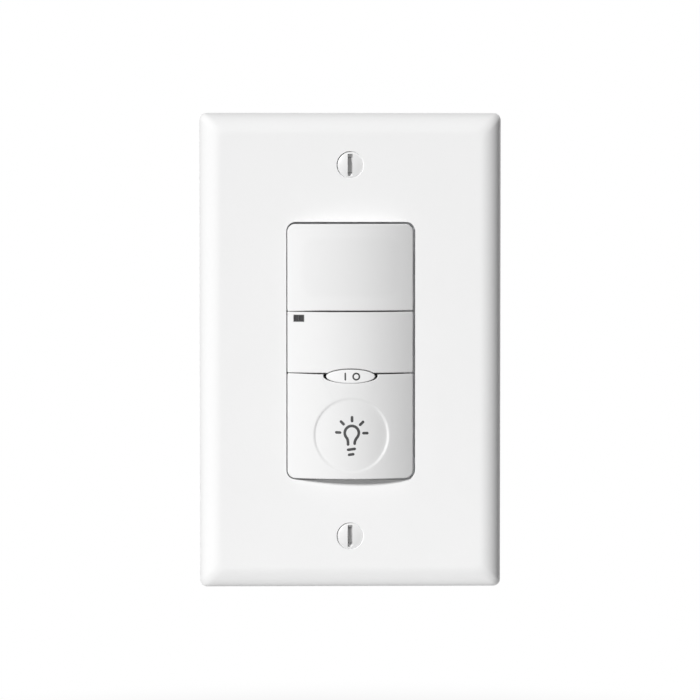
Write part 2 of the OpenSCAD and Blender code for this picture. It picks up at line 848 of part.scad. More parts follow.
module ground_screw() {
    head_x = ground_tab_x - ground_washer_t - ground_head_h;
    hex_step = 0.9;
    hex_r = head_r - hex_step;
    color("green") difference() {
        union() {
            rod_x(ground_screw_y, ground_tab_z, hex_r, head_x, ground_tab_x - ground_washer_t / 2, $fn = 6);
            rod_x(ground_screw_y, ground_tab_z, head_r, ground_tab_x - ground_washer_t, ground_tab_x);
            rod_x(ground_screw_y, ground_tab_z, screw_r, ground_tab_x - ground_washer_t / 2,
                ground_tab_x + yoke_t + ground_tip);
        }
        block(head_x - over, head_x + screw_slot_depth, ground_screw_y - head_r, ground_screw_y + head_r,
            ground_tab_z - screw_slot_w / 2, ground_tab_z + screw_slot_w / 2);
    }
}

// One wall-box screw along Y: a slotted pan head in front of the yoke, a thin neck and a thread.
module box_screw() {
    head_y = yoke_front_y - box_head_h;
    thread_y = yoke_back_y + box_neck_len;
    difference() {
        union() {
            rod_y(0, 0, head_r, head_y, yoke_front_y);
            rod_y(0, 0, box_neck_r, head_y + box_head_h / 2, thread_y + box_neck_len / 2);
            rod_y(0, 0, screw_r, thread_y, yoke_back_y + box_screw_reach);
        }
        block(-head_r - over, head_r + over, head_y - over, head_y + screw_slot_depth,
            -screw_slot_w / 2, screw_slot_w / 2);
    }
}

module box_screws() {
    color("silver") for (s = [-1, 1]) translate([0, 0, s * box_screw_spacing / 2]) box_screw();
}

// Fibre squares behind the yoke that keep the wall-box screws from falling out.
module screw_retainers() {
    color("tan") for (s = [-1, 1]) translate([0, 0, s * box_screw_spacing / 2])
        along_y(yoke_back_y, yoke_back_y + retainer_t) difference() {
            square(retainer_side, center = true);
            circle(r = box_neck_r + fit_gap);
        }
}

// A terminal pocket on the right side, with its screw hole and the slot for its tab.
module terminal_pocket(z) {
    slot_half = terminal_tab_w / 2 + fit_gap;
    block(pocket_floor_x, housing_w / 2 + over, pocket_y0, pocket_y1, z - pocket_h / 2,
        z + pocket_h / 2);
    rod_x(terminal_y, z, terminal_shank_r + terminal_shank_gap, bay_half_w - over,
        pocket_floor_x + over);
    block(pocket_floor_x, pocket_floor_x + terminal_plate_t + fit_gap, shoulder_y - over,
        pocket_y0 + over, z - slot_half, z + slot_half);
}

module rear_housing() {
    head_y = housing_depth - housing_head_h - housing_head_sunk;
    color("dimgray") difference() {
        union() {
            difference() {
                along_y(flange_back_y, housing_depth) rounded_rect(housing_w, housing_h, yoke_corner_r);
                block(-housing_in_w / 2, housing_in_w / 2, flange_back_y - over, shoulder_y,
                    -housing_in_h / 2, housing_in_h / 2);
                block(-bay_half_w, bay_half_w, shoulder_y - over, housing_floor_y,
                    -housing_in_h / 2, housing_in_h / 2);
            }
            both_sides() for (s = [-1, 1]) {
                rod_y(housing_screw_x, s * housing_screw_z, housing_boss_r, flange_back_y,
                    shoulder_y + over);
                rod_y(power_post_x, s * power_post_z, power_post_r, power_board_back_y,
                    housing_floor_y + over);
            }
        }
        both_sides() for (s = [-1, 1]) {
            rod_y(housing_screw_x, s * housing_screw_z, housing_screw_r + fit_gap,
                flange_back_y - over, housing_depth + over);
            rod_y(housing_screw_x, s * housing_screw_z, housing_head_r + housing_head_gap, head_y,
                housing_depth + over);
            rod_y(power_post_x, s * power_post_z, small_screw_r + fit_gap, power_board_back_y - over,
                power_board_back_y + small_pilot);
        }
        for (s = [-1, 1]) terminal_pocket(s * terminal_z);
        mirror([1, 0, 0]) terminal_pocket(terminal_z);
        rod_x(ground_screw_y, ground_tab_z, screw_r + loose_gap, -housing_w / 2 - over,
            -housing_w / 2 + ground_dimple);
    }
}

// One long pan-head screw from the back of the housing to the yoke.
module housing_screw() {
    head_y = housing_depth - housing_head_h - housing_head_sunk;
    head_end_y = head_y + housing_head_h;
    cross_rim = 0.665;
    cross_half = housing_head_r - cross_rim;
    cross_t = 0.6;
    difference() {
        union() {
            rod_y(0, 0, housing_head_r, head_y, head_end_y);
            rod_y(0, 0, housing_screw_r, yoke_front_y, head_y + housing_head_h / 2);
        }
        for (a = [0, 90]) rotate([0, a, 0])
            block(-cross_half, cross_half, head_y + housing_head_h / 2, head_end_y + over,
                -cross_t / 2, cross_t / 2);
    }
}

module housing_screws() {
    color("silver") both_sides() for (s = [-1, 1])
        translate([housing_screw_x, 0, s * housing_screw_z]) housing_screw();
}

module sensor_board() {
    color("darkgreen") difference() {
        along_y(sensor_board_y, sensor_board_back_y)
            rounded_rect(sensor_board_w, sensor_board_h, board_corner_r);
        for (s = [-1, 1]) rod_y(s * ledge_x, s * ledge_z, small_hole_r, sensor_board_y - over,
            sensor_board_back_y + over);
    }
}

// A small screw along Y whose head rests on the plane Y = 0 and whose tip points to negative Y.
module small_screw() {
    rod_y(0, 0, small_head_r, 0, small_head_h);
    rod_y(0, 0, small_screw_r, -board_t - small_screw_bite, small_head_h / 2);
}

module sensor_board_screws() {
    color("silver") for (s = [-1, 1])
        translate([s * ledge_x, sensor_board_back_y, s * ledge_z]) small_screw();
}

module pir_spacer() {
    color("black") rod_y(0, pir_z, pir_d / 2 + loose_gap, pir_seat_y, sensor_board_y);
}

module pir_sensor() {
    color("silver") difference() {
        union() {
            rod_y(0, pir_z, pir_can_r, pir_front_y, pir_seat_y);
            rod_y(0, pir_z, pir_d / 2, pir_seat_y - pir_flange_t, pir_seat_y);
        }
        translate([0, 0, pir_z]) along_y(pir_front_y - over, pir_front_y + pir_window_t)
            square([pir_window_w, pir_window_h], center = true);
    }
}

module pir_window() {
    color("dimgray") translate([0, 0, pir_z]) along_y(pir_front_y, pir_front_y + pir_window_t)
        square([pir_window_w - 2 * fit_gap, pir_window_h - 2 * fit_gap], center = true);
}

module tact_switch() {
    bore_end_y = tact_front_y + plunger_seat + press_stroke + plunger_spare;
    color("black") difference() {
        part_on(0, tact_front_y, dish_z, [tact_side, tact_h, tact_side]);
        rod_y(0, dish_z, plunger_d / 2 + fit_gap, tact_front_y - over, bore_end_y);
    }
}

module tact_plunger() {
    color("gainsboro") rod_y(0, dish_z, plunger_d / 2, plunger_front_y, tact_front_y + plunger_seat);
}

module trimmer_body(x) {
    difference() {
        part_on(x, trimmer_front_y, trimmer_z, [trimmer_side, trimmer_h, trimmer_side]);
        rod_y(x, trimmer_z, rotor_r + fit_gap, trimmer_front_y - over, trimmer_front_y + rotor_seat);
    }
}

module trimmer_rotor(x) {
    front_y = trimmer_front_y - rotor_proud;
    difference() {
        rod_y(x, trimmer_z, rotor_r, front_y, trimmer_front_y + rotor_seat - fit_gap);
        block(x - rotor_slot_w / 2, x + rotor_slot_w / 2, front_y - over, front_y + rotor_slot_w,
            trimmer_z - rotor_r - over, trimmer_z + rotor_r + over);
    }
}

module time_delay_trimmer() {
    color("royalblue") trimmer_body(-trimmer_x);
}

module time_delay_rotor() {
    color("white") trimmer_rotor(-trimmer_x);
}

module light_level_trimmer() {
    color("royalblue") trimmer_body(trimmer_x);
}

module light_level_rotor() {
    color("white") trimmer_rotor(trimmer_x);
}

// A chip on the sensor board behind one cell of the window.
module window_chip(side) {
    part_on(window_x + side * cell_pitch / 2, sensor_board_y - chip_t, window_z,
        [cell_w, chip_t, chip_h]);
}

module status_led() {
    color("red") window_chip(-1);
}

module photocell() {
    color("black") window_chip(1);
}

module microcontroller() {
    color("black") part_on(0, sensor_board_back_y, pir_z,
        [controller_side, controller_t, controller_side]);
}

module header_socket() {
    color("black") part_on(0, sensor_board_back_y, header_z,
        [header_w, header_split_y - sensor_board_back_y, header_t]);
}

module header_plug() {
    color("black") part_on(0, header_split_y, header_z,
        [header_w + 2 * header_lip, header_plug_h, header_t]);
}

module power_board() {
    color("darkgreen") difference() {
        along_y(power_board_y, power_board_back_y)
            rounded_rect(power_board_w, power_board_h, board_corner_r);
        for (s = [-1, 1]) rod_y(s * power_post_x, s * power_post_z, small_hole_r, power_board_y - over,
            power_board_back_y + over);
    }
}

module power_board_screws() {
    color("silver") for (s = [-1, 1]) translate([s * power_post_x, power_board_y, s * power_post_z])
        rotate([0, 0, 180]) small_screw();
}

module relay() {
    color("black") part_on(relay_x, power_board_back_y, relay_z, relay_size);
}

// The ferrite core: a block with two windows right through it along X.
module transformer_core() {
    y0 = power_board_back_y + core_lift;
    color("gray") difference() {
        part_on(core_x, y0, core_z, core_size);
        for (s = [-1, 1]) part_on(core_x, y0 + core_back, core_z + s * coil_offset,
            [core_size[0] + 2 * over, core_size[1] - 2 * core_back, coil_w]);
    }
}

// The winding in the core's two windows, between the two cheeks of its bobbin.
module transformer_coil() {
    y0 = power_board_back_y + core_lift + core_back + coil_gap;
    cheek_x = core_size[0] / 2 + cheek_t / 2 + coil_gap;
    color("goldenrod") {
        for (s = [-1, 1]) {
            part_on(core_x, y0, core_z + s * coil_offset, [2 * cheek_x,
                core_size[1] - 2 * core_back - 2 * coil_gap, coil_w - 2 * coil_gap]);
            part_on(core_x + s * cheek_x, power_board_back_y, core_z,
                [cheek_t, core_lift + core_size[1] - core_back, cheek_h]);
        }
    }
}

module film_capacitor() {
    color("khaki") part_on(film_x, power_board_back_y, film_z, film_size);
}

module electrolytic_capacitors() {
    color("navy") for (z = can_z) rod_y(can_x, z, can_r, power_board_back_y, power_board_back_y + can_h);
}

module varistor() {
    axis_y = power_board_back_y + varistor_lift + varistor_r;
    color("orangered") {
        rod_x(axis_y, varistor_z, varistor_r, varistor_x - varistor_t / 2, varistor_x + varistor_t / 2);
        for (s = [-1, 1]) rod_y(varistor_x, varistor_z + s * varistor_lead, lead_r, power_board_back_y,
            axis_y - varistor_r / 2);
    }
}

module fuse() {
    axis_y = power_board_back_y + fuse_lift + fuse_r;
    color("wheat") {
        translate([fuse_x, axis_y, fuse_z - fuse_l / 2]) cylinder(r = fuse_r, h = fuse_l);
        for (s = [-1, 1]) rod_y(fuse_x, fuse_z + s * fuse_lead, lead_r, power_board_back_y, axis_y);
    }
}

// A brass terminal on the right side: a plate in the pocket and a tab to the power board.
module terminal_plate(z) {
    tab_y = power_board_y - terminal_tab_t;
    plate_x = pocket_floor_x + terminal_plate_t;
    z0 = z - terminal_tab_w / 2;
    z1 = z + terminal_tab_w / 2;
    difference() {
        block(pocket_floor_x, plate_x, pocket_y0 + terminal_plate_gap, pocket_y1 - terminal_plate_gap,
            z - terminal_plate_h / 2, z + terminal_plate_h / 2);
        rod_x(terminal_y, z, terminal_shank_r + thread_gap, pocket_floor_x - over, plate_x + over);
    }
    block(pocket_floor_x, plate_x, tab_y, pocket_y0 + 2 * terminal_plate_gap, z0, z1);
    block(pocket_floor_x - terminal_tab_in, plate_x, tab_y, power_board_y, z0, z1);
}

module terminal_plates() {
    color("gold") {
        for (s = [-1, 1]) terminal_plate(s * terminal_z);
        mirror([1, 0, 0]) terminal_plate(terminal_z);
    }
}

// A binding-head terminal screw on the right side, backed out to take a wire.
module terminal_screw(z) {
    under_x = pocket_floor_x + terminal_plate_t + wire_space;
    head_x = under_x + terminal_head_h;
    difference() {
        union() {
            rod_x(terminal_y, z, terminal_head_d / 2, under_x, head_x);
            rod_x(terminal_y, z, terminal_shank_r, bay_half_w - terminal_tip, under_x + terminal_head_h / 2);
        }
        block(head_x - terminal_slot_depth, head_x + over, terminal_y - terminal_head_d,
            terminal_y + terminal_head_d, z - terminal_slot_w / 2, z + terminal_slot_w / 2);
    }
}

module line_load_screws() {
    color("gold") for (s = [-1, 1]) terminal_screw(s * terminal_z);
}

module neutral_screw() {
    color("silver") mirror([1, 0, 0]) terminal_screw(terminal_z);
}

wall_plate();
plate_screws();
fresnel_lens();
middle_cover();
push_button();
oval_badge();
window_bezel();
led_light_pipe();
photocell_light_pipe();
front_chassis();
button_springs();
mounting_yoke();
box_screws();
screw_retainers();
ground_screw();
rear_housing();
housing_screws();
sensor_board();
sensor_board_screws();
pir_spacer();
pir_sensor();
pir_window();
tact_switch();
tact_plunger();
time_delay_trimmer();
time_delay_rotor();
light_level_trimmer();
light_level_rotor();
status_led();
photocell();
microcontroller();
header_socket();
header_plug();
power_board();
power_board_screws();
relay();
transformer_core();
transformer_coil();
film_capacitor();
electrolytic_capacitors();
varistor();
fuse();
terminal_plates();
line_load_screws();
neutral_screw();
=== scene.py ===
# %% [markdown]
# # A motion sensor light switch in white plastic
# The CAD frame holds every piece of the switch at its real size. This lesson rounds the edges that a mould
# would round, gives each node a finish of its own, and lights the switch like a small product picture.

# %% Load the frame
import json
import math

import bmesh
import bpy
import numpy as np
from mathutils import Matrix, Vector


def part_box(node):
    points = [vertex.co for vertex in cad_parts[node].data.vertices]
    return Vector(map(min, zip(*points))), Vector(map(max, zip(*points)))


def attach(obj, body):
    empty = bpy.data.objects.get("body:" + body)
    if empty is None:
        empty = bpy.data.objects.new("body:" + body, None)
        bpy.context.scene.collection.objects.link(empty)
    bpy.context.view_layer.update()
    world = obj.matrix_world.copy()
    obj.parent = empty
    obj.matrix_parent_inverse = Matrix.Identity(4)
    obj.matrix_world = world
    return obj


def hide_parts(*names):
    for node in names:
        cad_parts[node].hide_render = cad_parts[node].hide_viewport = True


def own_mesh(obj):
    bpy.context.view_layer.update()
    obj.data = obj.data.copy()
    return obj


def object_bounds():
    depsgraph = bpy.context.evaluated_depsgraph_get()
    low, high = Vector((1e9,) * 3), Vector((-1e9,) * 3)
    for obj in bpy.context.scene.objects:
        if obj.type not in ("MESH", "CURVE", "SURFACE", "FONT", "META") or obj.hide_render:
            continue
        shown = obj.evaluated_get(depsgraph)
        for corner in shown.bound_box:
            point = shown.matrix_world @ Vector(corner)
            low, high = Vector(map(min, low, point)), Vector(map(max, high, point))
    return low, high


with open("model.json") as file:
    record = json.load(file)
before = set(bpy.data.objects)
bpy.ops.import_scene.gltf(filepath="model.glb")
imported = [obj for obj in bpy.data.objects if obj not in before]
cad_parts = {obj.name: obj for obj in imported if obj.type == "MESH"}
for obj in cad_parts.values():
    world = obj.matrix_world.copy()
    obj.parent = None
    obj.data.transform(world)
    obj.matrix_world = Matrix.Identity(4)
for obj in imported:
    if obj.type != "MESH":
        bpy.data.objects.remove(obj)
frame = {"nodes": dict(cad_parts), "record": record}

MM = 0.001
CAD_BOX = [list(corner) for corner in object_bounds()]


def box(node):
    """The lowest and the highest corner of a CAD node, in millimetres."""
    low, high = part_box(node)
    return np.array(low) / MM, np.array(high) / MM


def centre_of(node):
    """The middle of a CAD node's box, in millimetres."""
    low, high = box(node)
    return (low + high) / 2


# %% [markdown]
# ## Surfaces from grids of points
# Every new piece here is a grid of points that a formula places, with quads between neighbours. A grid can
# wrap round in either direction, and its repeated points are merged, so seams and poles close. An exact
# Boolean cuts slots and holes, because a cutter does the same job on the real screws and moulds.

# %% Grids and meshes
MERGE = 2e-7
SHARP = math.radians(35)


def grid_quads(rows, columns, wrap_rows, wrap_columns):
    """The corner numbers of the quads between neighbouring points of a grid."""
    row = np.arange(rows if wrap_rows else rows - 1)
    column = np.arange(columns if wrap_columns else columns - 1)
    row, column = np.meshgrid(row, column, indexing="ij")
    below = (row + 1) % rows * columns
    after = (column + 1) % columns
    here = row * columns
    return np.stack([here + column, below + column, below + after, here + after], axis=-1).reshape(-1, 4)


def show(thing):
    """Puts an object into the scene."""
    bpy.context.scene.collection.objects.link(thing)
    return thing


def close(mesh):
    """Merges repeated points, turns faces outwards, and keeps the edges sharp that turn past an angle."""
    shape = bmesh.new()
    shape.from_mesh(mesh)
    bmesh.ops.remove_doubles(shape, verts=shape.verts, dist=MERGE)
    bmesh.ops.dissolve_degenerate(shape, edges=shape.edges, dist=MERGE)
    bmesh.ops.recalc_face_normals(shape, faces=shape.faces)
    shape.to_mesh(mesh)
    shape.free()
    mesh.shade_smooth()
    mesh.set_sharp_from_angle(angle=SHARP)
    return mesh


def surface(name, sheets):
    """One mesh from sheets, each a grid of points in millimetres and two flags for the ways it wraps."""
    points = []
    quads = []
    count = 0
    for grid, wrap_rows, wrap_columns in sheets:
        rows, columns = grid.shape[:2]
        points.append(grid.reshape(-1, 3) * MM)
        quads.append(grid_quads(rows, columns, wrap_rows, wrap_columns) + count)
        count += rows * columns
    mesh = bpy.data.meshes.new(name)
    mesh.from_pydata(np.concatenate(points).tolist(), [], np.concatenate(quads).tolist())
    return close(mesh)


def carve(mesh, sheets, operation="DIFFERENCE"):
    """Takes the closed shapes of some sheets away from a mesh, or adds them, with an exact Boolean."""
    body = show(bpy.data.objects.new("body", mesh))
    tool = show(bpy.data.objects.new("tool", surface("tool", sheets)))
    change = body.modifiers.new("carve", "BOOLEAN")
    change.operation = operation
    change.solver = "EXACT"
    change.object = tool
    ready = body.evaluated_get(bpy.context.evaluated_depsgraph_get())
    result = bpy.data.meshes.new_from_object(ready)
    result.name = mesh.name
    bpy.data.objects.remove(body)
    bpy.data.objects.remove(tool)
    return close(result)


def piece(name, mesh, finish, body="frame", nodes=()):
    """An object for a mesh that rides on a body and stands for some CAD nodes."""
    made = show(bpy.data.objects.new(name, mesh))
    made.data.materials.clear()
    made.data.materials.append(finish)
    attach(made, body)
    if nodes:
        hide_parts(*nodes)
    print(name, len(mesh.vertices), "points")
    return made


print("grid of 3 by 4:", len(grid_quads(3, 4, False, True)), "quads when it wraps round")

# %% [markdown]
# ## Rods, slabs and turned shapes
# Screws, posts and pins are turned on a lathe, so a profile goes round an axis. A screw's shank is the same
# surface with a radius that also changes with the turn, which winds a thread round it.

# %% Turned shapes
def turned(radius, height, centre=(0, 0, 0), along="Y", steps=64):
    """A profile turned about an axis: r cos a and r sin a across it, h along it; r may change with a."""
    turn = np.linspace(0, 2 * np.pi, steps, endpoint=False)
    radius = np.asarray(radius, float)
    radius = radius[:, None] if radius.ndim == 1 else radius
    first = radius * np.cos(turn)
    second = radius * np.sin(turn)
    height = np.broadcast_to(np.asarray(height, float)[:, None], first.shape)
    order = (height, first, second) if along == "X" else (first, height, second)
    return np.stack(order, axis=-1) + np.asarray(centre, float), False, True


def rod(radius, start, end, centre=(0, 0, 0), along="Y"):
    """A plain round bar between two heights on an axis through the centre."""
    return turned([0, radius, radius, 0], [start, start, end, end], centre, along, 32)


def bar(profile, middle, start, end, along="Y"):
    """A closed outline carried straight along an axis.

    Both ends close on a middle point, which has to see the whole outline.
    """
    profile = np.asarray(profile, float)
    cap = np.repeat([middle], len(profile), axis=0)
    flat = np.stack([cap, profile, profile, cap])
    first, second = flat[..., 0], flat[..., 1]
    height = np.broadcast_to(np.array([start, start, end, end], float)[:, None], first.shape)
    order = {"X": (height, first, second), "Y": (first, height, second), "Z": (first, second, height)}
    return np.stack(order[along], axis=-1), False, True


def slab(low, high):
    """A box between two corners."""
    sides = [(low[0], low[2]), (high[0], low[2]), (high[0], high[2]), (low[0], high[2])]
    return bar(sides, np.mean(sides, axis=0), low[1], high[1])


def copies(sheet, spots):
    """The same sheet moved to each of some spots."""
    grid, *wraps = sheet
    return [(grid + spot, *wraps) for spot in spots]


def arc(start, end, steps):
    """Angles in radians between two in degrees."""
    return np.radians(np.linspace(start, end, steps))


def unit(turn):
    """Points on a circle of radius one: cos a and sin a."""
    return np.stack([np.cos(turn), np.sin(turn)], -1)


print("a rod has", rod(1, 0, 1)[0].shape[:2], "grid points")

# %% [markdown]
# ## Finishes as small sums
# A finish is a Principled shader whose colour, roughness and relief come from noise in object coordinates.
# The class below writes shader sums with Python's own operators, so a finish reads like a formula.

# %% Shader maths
class Value:
    """One output in a node tree; an expression with it adds Math nodes."""

    def __init__(self, nodes, socket):
        self.nodes = nodes
        self.socket = socket

    def worked(self, operation, first, second):
        """A Math node on two numbers or values."""
        return self.nodes.node("ShaderNodeMath", {"operation": operation}, {0: first, 1: second})

    def __add__(self, other):
        return self.worked("ADD", self, other)

    def __sub__(self, other):
        return self.worked("SUBTRACT", self, other)

    def __rsub__(self, other):
        return self.worked("SUBTRACT", other, self)

    def __mul__(self, other):
        return self.worked("MULTIPLY", self, other)

    def __or__(self, other):
        return self.worked("MAXIMUM", self, other)

    def __abs__(self):
        return self | 0 - self

    __radd__ = __add__
    __rmul__ = __mul__


class Nodes:
    """A node tree, with one method that adds any node and one that fills or links sockets."""

    def __init__(self, tree):
        self.tree = tree

    def plug(self, sockets, values):
        """Sets each socket to its number or colour, or links its value to it."""
        for key, value in values.items():
            if isinstance(value, Value):
                self.tree.links.new(value.socket, sockets[key])
            else:
                sockets[key].default_value = value

    def node(self, kind, settings=None, values=None, out=0):
        """Adds a node, first its settings and then its sockets, and gives one of its outputs."""
        made = self.tree.nodes.new(kind)
        for key, value in (settings or {}).items():
            setattr(made, key, value)
        self.plug(made.inputs, values or {})
        return Value(self, made.outputs[out])

    def seen(self):
        """One where the camera, a gloss or clear plastic looks straight at it, else nothing."""
        rays = [self.node("ShaderNodeLightPath", out=f"Is {kind} Ray")
                for kind in ("Camera", "Glossy", "Transmission")]
        return rays[0] | rays[1] | rays[2]

    def between(self, value, start, end, low=0.0, high=1.0):
        """A smooth step from low to high while a value goes from start to end."""
        return self.node("ShaderNodeMapRange", {"interpolation_type": "SMOOTHSTEP"},
                         {"Value": value, "From Min": start, "From Max": end,
                          "To Min": low, "To Max": high})


class Finish(Nodes):
    """A material whose Principled shader takes its sockets from expressions."""

    def __init__(self, name):
        self.material = bpy.data.materials.new(name)
        self.material.use_nodes = True
        super().__init__(self.material.node_tree)
        self.shader = self.tree.nodes["Principled BSDF"]

    def place(self):
        """The point on the surface, in metres in the frame's own coordinates."""
        return self.node("ShaderNodeTexCoord", out="Object")

    def along(self, axis):
        """How far that point lies along X, Y or Z, in millimetres."""
        return self.node("ShaderNodeSeparateXYZ", {}, {0: self.place()}, axis) * (1 / MM)

    def noise(self, size_mm, detail=2.0, stretch=(1, 1, 1)):
        """Noise whose blotches measure about so many millimetres, drawn out along an axis by a stretch."""
        scale = tuple(1 / (size_mm * MM * share) for share in stretch)
        place = self.node("ShaderNodeMapping", {}, {"Vector": self.place(), "Scale": scale})
        return self.node("ShaderNodeTexNoise", {}, {"Vector": place, "Scale": 1.0, "Detail": detail})

    def tinted(self, colour, share):
        """A colour times a share that may vary."""
        return self.node("ShaderNodeVectorMath", {"operation": "SCALE"}, {0: colour, "Scale": share})

    def mixed(self, first, second, share):
        """The first colour where the share is nothing, the second where it is one."""
        return self.node("ShaderNodeMix", {"data_type": "RGBA"}, {0: share, 6: first, 7: second}, 2)

    def relief(self, height, depth_mm):
        """A bump of a real depth."""
        return self.node("ShaderNodeBump", {}, {"Height": height, "Distance": depth_mm * MM}, "Normal")

    def done(self, **values):
        """Fills the shader's sockets, named with _ for a space, and gives the material."""
        self.plug(self.shader.inputs, {key.replace("_", " "): value for key, value in values.items()})
        return self.material


CLOUD_MM = 14
CLOUD = 0.02
SATIN = 0.06


def moulded(finish, colour, tone, roughness, grain_mm, depth_mm, **more):
    """The skin of a moulding: a tone that clouds a little, and the mould's grain in gloss and relief."""
    grain = finish.noise(grain_mm, 1.0)
    tone = tone + (finish.noise(CLOUD_MM) - 0.5) * CLOUD
    satin = roughness + (grain - 0.5) * SATIN
    return finish.done(Base_Color=finish.tinted(colour, tone), Roughness=satin,
                       Normal=finish.relief(grain, depth_mm), **more)


def plastic(name, colour, roughness, depth_mm=0.004, **more):
    """Moulded plastic of one colour all over."""
    return moulded(Finish(name), colour, 1, roughness, 0.35, depth_mm, **more)


def milky(name, colour, roughness, low, high, border=4.0, corner=3.0, blend=1.2, painted_shade=0.978):
    """Milky polyethylene with painted light: its middle is coloured a little greyer than its border, which
    stands in for light on its edges.

    A point's distance past the inner edges of a rounded frame, squared, tells the middle from the border.
    """
    finish = Finish(name)
    inset = border + corner
    sideways = abs(finish.along("X")) - (high[0] - inset) | 0
    upward = abs(finish.along("Z") - (low[2] + high[2]) / 2) - ((high[2] - low[2]) / 2 - inset) | 0
    past = sideways * sideways + upward * upward
    # painted light: the border keeps the full tone and the middle is coloured greyer, standing in for light
    # on the lens's edges
    painted_border_light = finish.between(past, (corner - blend) ** 2, (corner + blend) ** 2, painted_shade, 1.0)
    return moulded(finish, colour, painted_border_light, roughness, 0.5, 0.004, Specular_IOR_Level=0.2,
                   Diffuse_Roughness=0.3)


def metal(name, colour, roughness):
    """Plated metal: a fine mottle changes its gloss and relief, and broad patches its tone."""
    finish = Finish(name)
    mottle = finish.noise(0.5, 3.0)
    tone = 0.92 + finish.noise(5) * 0.16
    gloss = roughness + (mottle - 0.5) * 0.22
    return finish.done(Base_Color=finish.tinted(colour, tone), Roughness=gloss, Metallic=1.0,
                       Normal=finish.relief(mottle, 0.006))


def fibre(name, colour, roughness):
    """Pressed fibre or paper: long pale threads that run two ways, and a rough skin."""
    finish = Finish(name)
    threads = finish.noise(0.4, 4.0, (6, 1, 1)) + finish.noise(0.4, 4.0, (1, 1, 6))
    return finish.done(Base_Color=finish.tinted(colour, 0.55 + threads * 0.45), Roughness=roughness,
                       Normal=finish.relief(threads, 0.03))


def board(name, colour, roughness):
    """Solder mask over copper: tracks show as paler bands under the lacquer."""
    finish = Finish(name)
    turn = finish.node("ShaderNodeMapping", {}, {"Vector": finish.place(), "Rotation": (math.pi / 2, 0, 0)})
    track = finish.node("ShaderNodeTexBrick", {}, {"Vector": turn, "Color1": (1, 1, 1, 1),
                        "Color2": (0.7, 0.7, 0.7, 1), "Mortar": (1.9, 1.9, 1.9, 1), "Scale": 140.0,
                        "Mortar Size": 0.07}, "Color")
    tint = finish.node("ShaderNodeVectorMath", {"operation": "MULTIPLY"}, {0: colour, 1: track})
    gloss = roughness + (finish.noise(2) - 0.5) * 0.1
    return finish.done(Base_Color=tint, Roughness=gloss, Coat_Weight=0.4)


IN_SLOT = (0.48, 0.8)
ON_SHANK = (1.9, 2.3)


def enamelled(name, paint, slot_shade, zinc, front):
    """Enamel sprayed on a steel screw: white on the crown, painted shade in the slot, bare zinc on the
    shank.

    Two smooth steps in the depth behind the plate's front tell where the slot is coloured darker as painted
    shade, and where the paint ends.
    """
    finish = Finish(name)
    depth = finish.along("Y") - front
    # painted shade: the slot's floor and walls are coloured darker with depth, standing in for the shade in
    # the slot
    painted_shade = finish.between(depth, *IN_SLOT)
    bare = finish.between(depth, *ON_SHANK)
    grain = finish.noise(0.8, 1.0)
    colour = finish.mixed(finish.mixed((*paint, 1), (*slot_shade, 1), painted_shade), (*zinc, 1), bare)
    return finish.done(Base_Color=colour, Roughness=0.3 + painted_shade * 0.2, Metallic=bare,
                       Normal=finish.relief(grain, 0.008), Specular_IOR_Level=0.3)


print("finishes: plastic, milky plastic, metal, fibre, board and enamel")

# %% [markdown]
# ## One finish for each material slot
# Slots of one class share a formula, and the record's own base colour tints it. The white parts are set
# apart: the plate is the whitest, the face a little greyer, the lens soft, with painted light: its middle a
# little greyer than its border.

# %% Dress the CAD nodes
PLATE_WHITE = (0.87, 0.87, 0.87)
FACE_WHITE = (0.8, 0.8, 0.8)
LENS_WHITE = (0.81, 0.81, 0.81)
SCREW_WHITE = (0.8, 0.8, 0.8)
# painted shade: the grey that colours the deep part of the screw slots
PAINTED_SLOT_SHADE = (0.62, 0.62, 0.62)
ZINC = (0.66, 0.67, 0.68)

finishes = {
    "plate_white": plastic("plate white", PLATE_WHITE, 0.6, Specular_IOR_Level=0.2, Diffuse_Roughness=0.2),
    "screw_white": enamelled("screw enamel", SCREW_WHITE, PAINTED_SLOT_SHADE, (0.7, 0.7, 0.72),
                             box("wall_plate")[0][1]),
    "lens_white": milky("lens white", LENS_WHITE, 0.65, *box("fresnel_lens")),
    "face_white": plastic("face white", FACE_WHITE, 0.6, Specular_IOR_Level=0.2),
    "chassis_white": plastic("chassis white", FACE_WHITE, 0.5),
    "smoked_window": plastic("smoked window", (0.07, 0.07, 0.072), 0.25),
    "clear_pipe": plastic("light pipe", (0.035, 0.035, 0.037), 0.2),
}
ROUGHNESS = {"gloss_plastic": 0.28, "matte_plastic": 0.5, "painted_metal": 0.3, "cast_iron": 0.7,
             "brushed_steel": 0.34, "brass": 0.26, "cardboard": 0.85}

for entry in frame["record"]["materials"]:
    slot = entry["slot"]
    sort = entry["class"]
    look = (slot.replace("_", " "), tuple(entry["base_color"]), ROUGHNESS[sort])
    if slot in finishes:
        continue
    if slot.startswith("board"):
        finishes[slot] = board(*look)
    elif sort in ("brushed_steel", "brass"):
        finishes[slot] = metal(*look)
    elif sort == "cardboard":
        finishes[slot] = fibre(*look)
    else:
        finishes[slot] = plastic(*look, depth_mm=0.012)

slot_of = {entry["node"]: entry["material_slot"] for entry in frame["record"]["subparts"]}
for node, thing in frame["nodes"].items():
    thing.data.materials.clear()
    thing.data.materials.append(finishes[slot_of[node]])


def stand_in(name, mesh, node, body="frame", finish=None):
    """A piece for one CAD node, on its slot, with the slot's finish unless it has one of its own."""
    slot = slot_of[node]
    return piece(name, mesh, finish or finishes[slot], body, [node])


print(len(finishes), "finishes on", len(slot_of), "nodes")

# %% [markdown]
# ## The bulging face
# The lens, the cover and the button are shells of one bulging face, which bends about an upright axis. Each
# shell is drawn as loops: from a point in its middle to its outline, over a rounded edge, back along the
# side wall, and in again to its hollow. A loop of any inset comes from the same outline formula, so the
# rounded edge keeps its radius round corners and notches. Real mouldings never sit quite true: the face
# has a little play to one side of its opening, and its seams pinch towards one end.

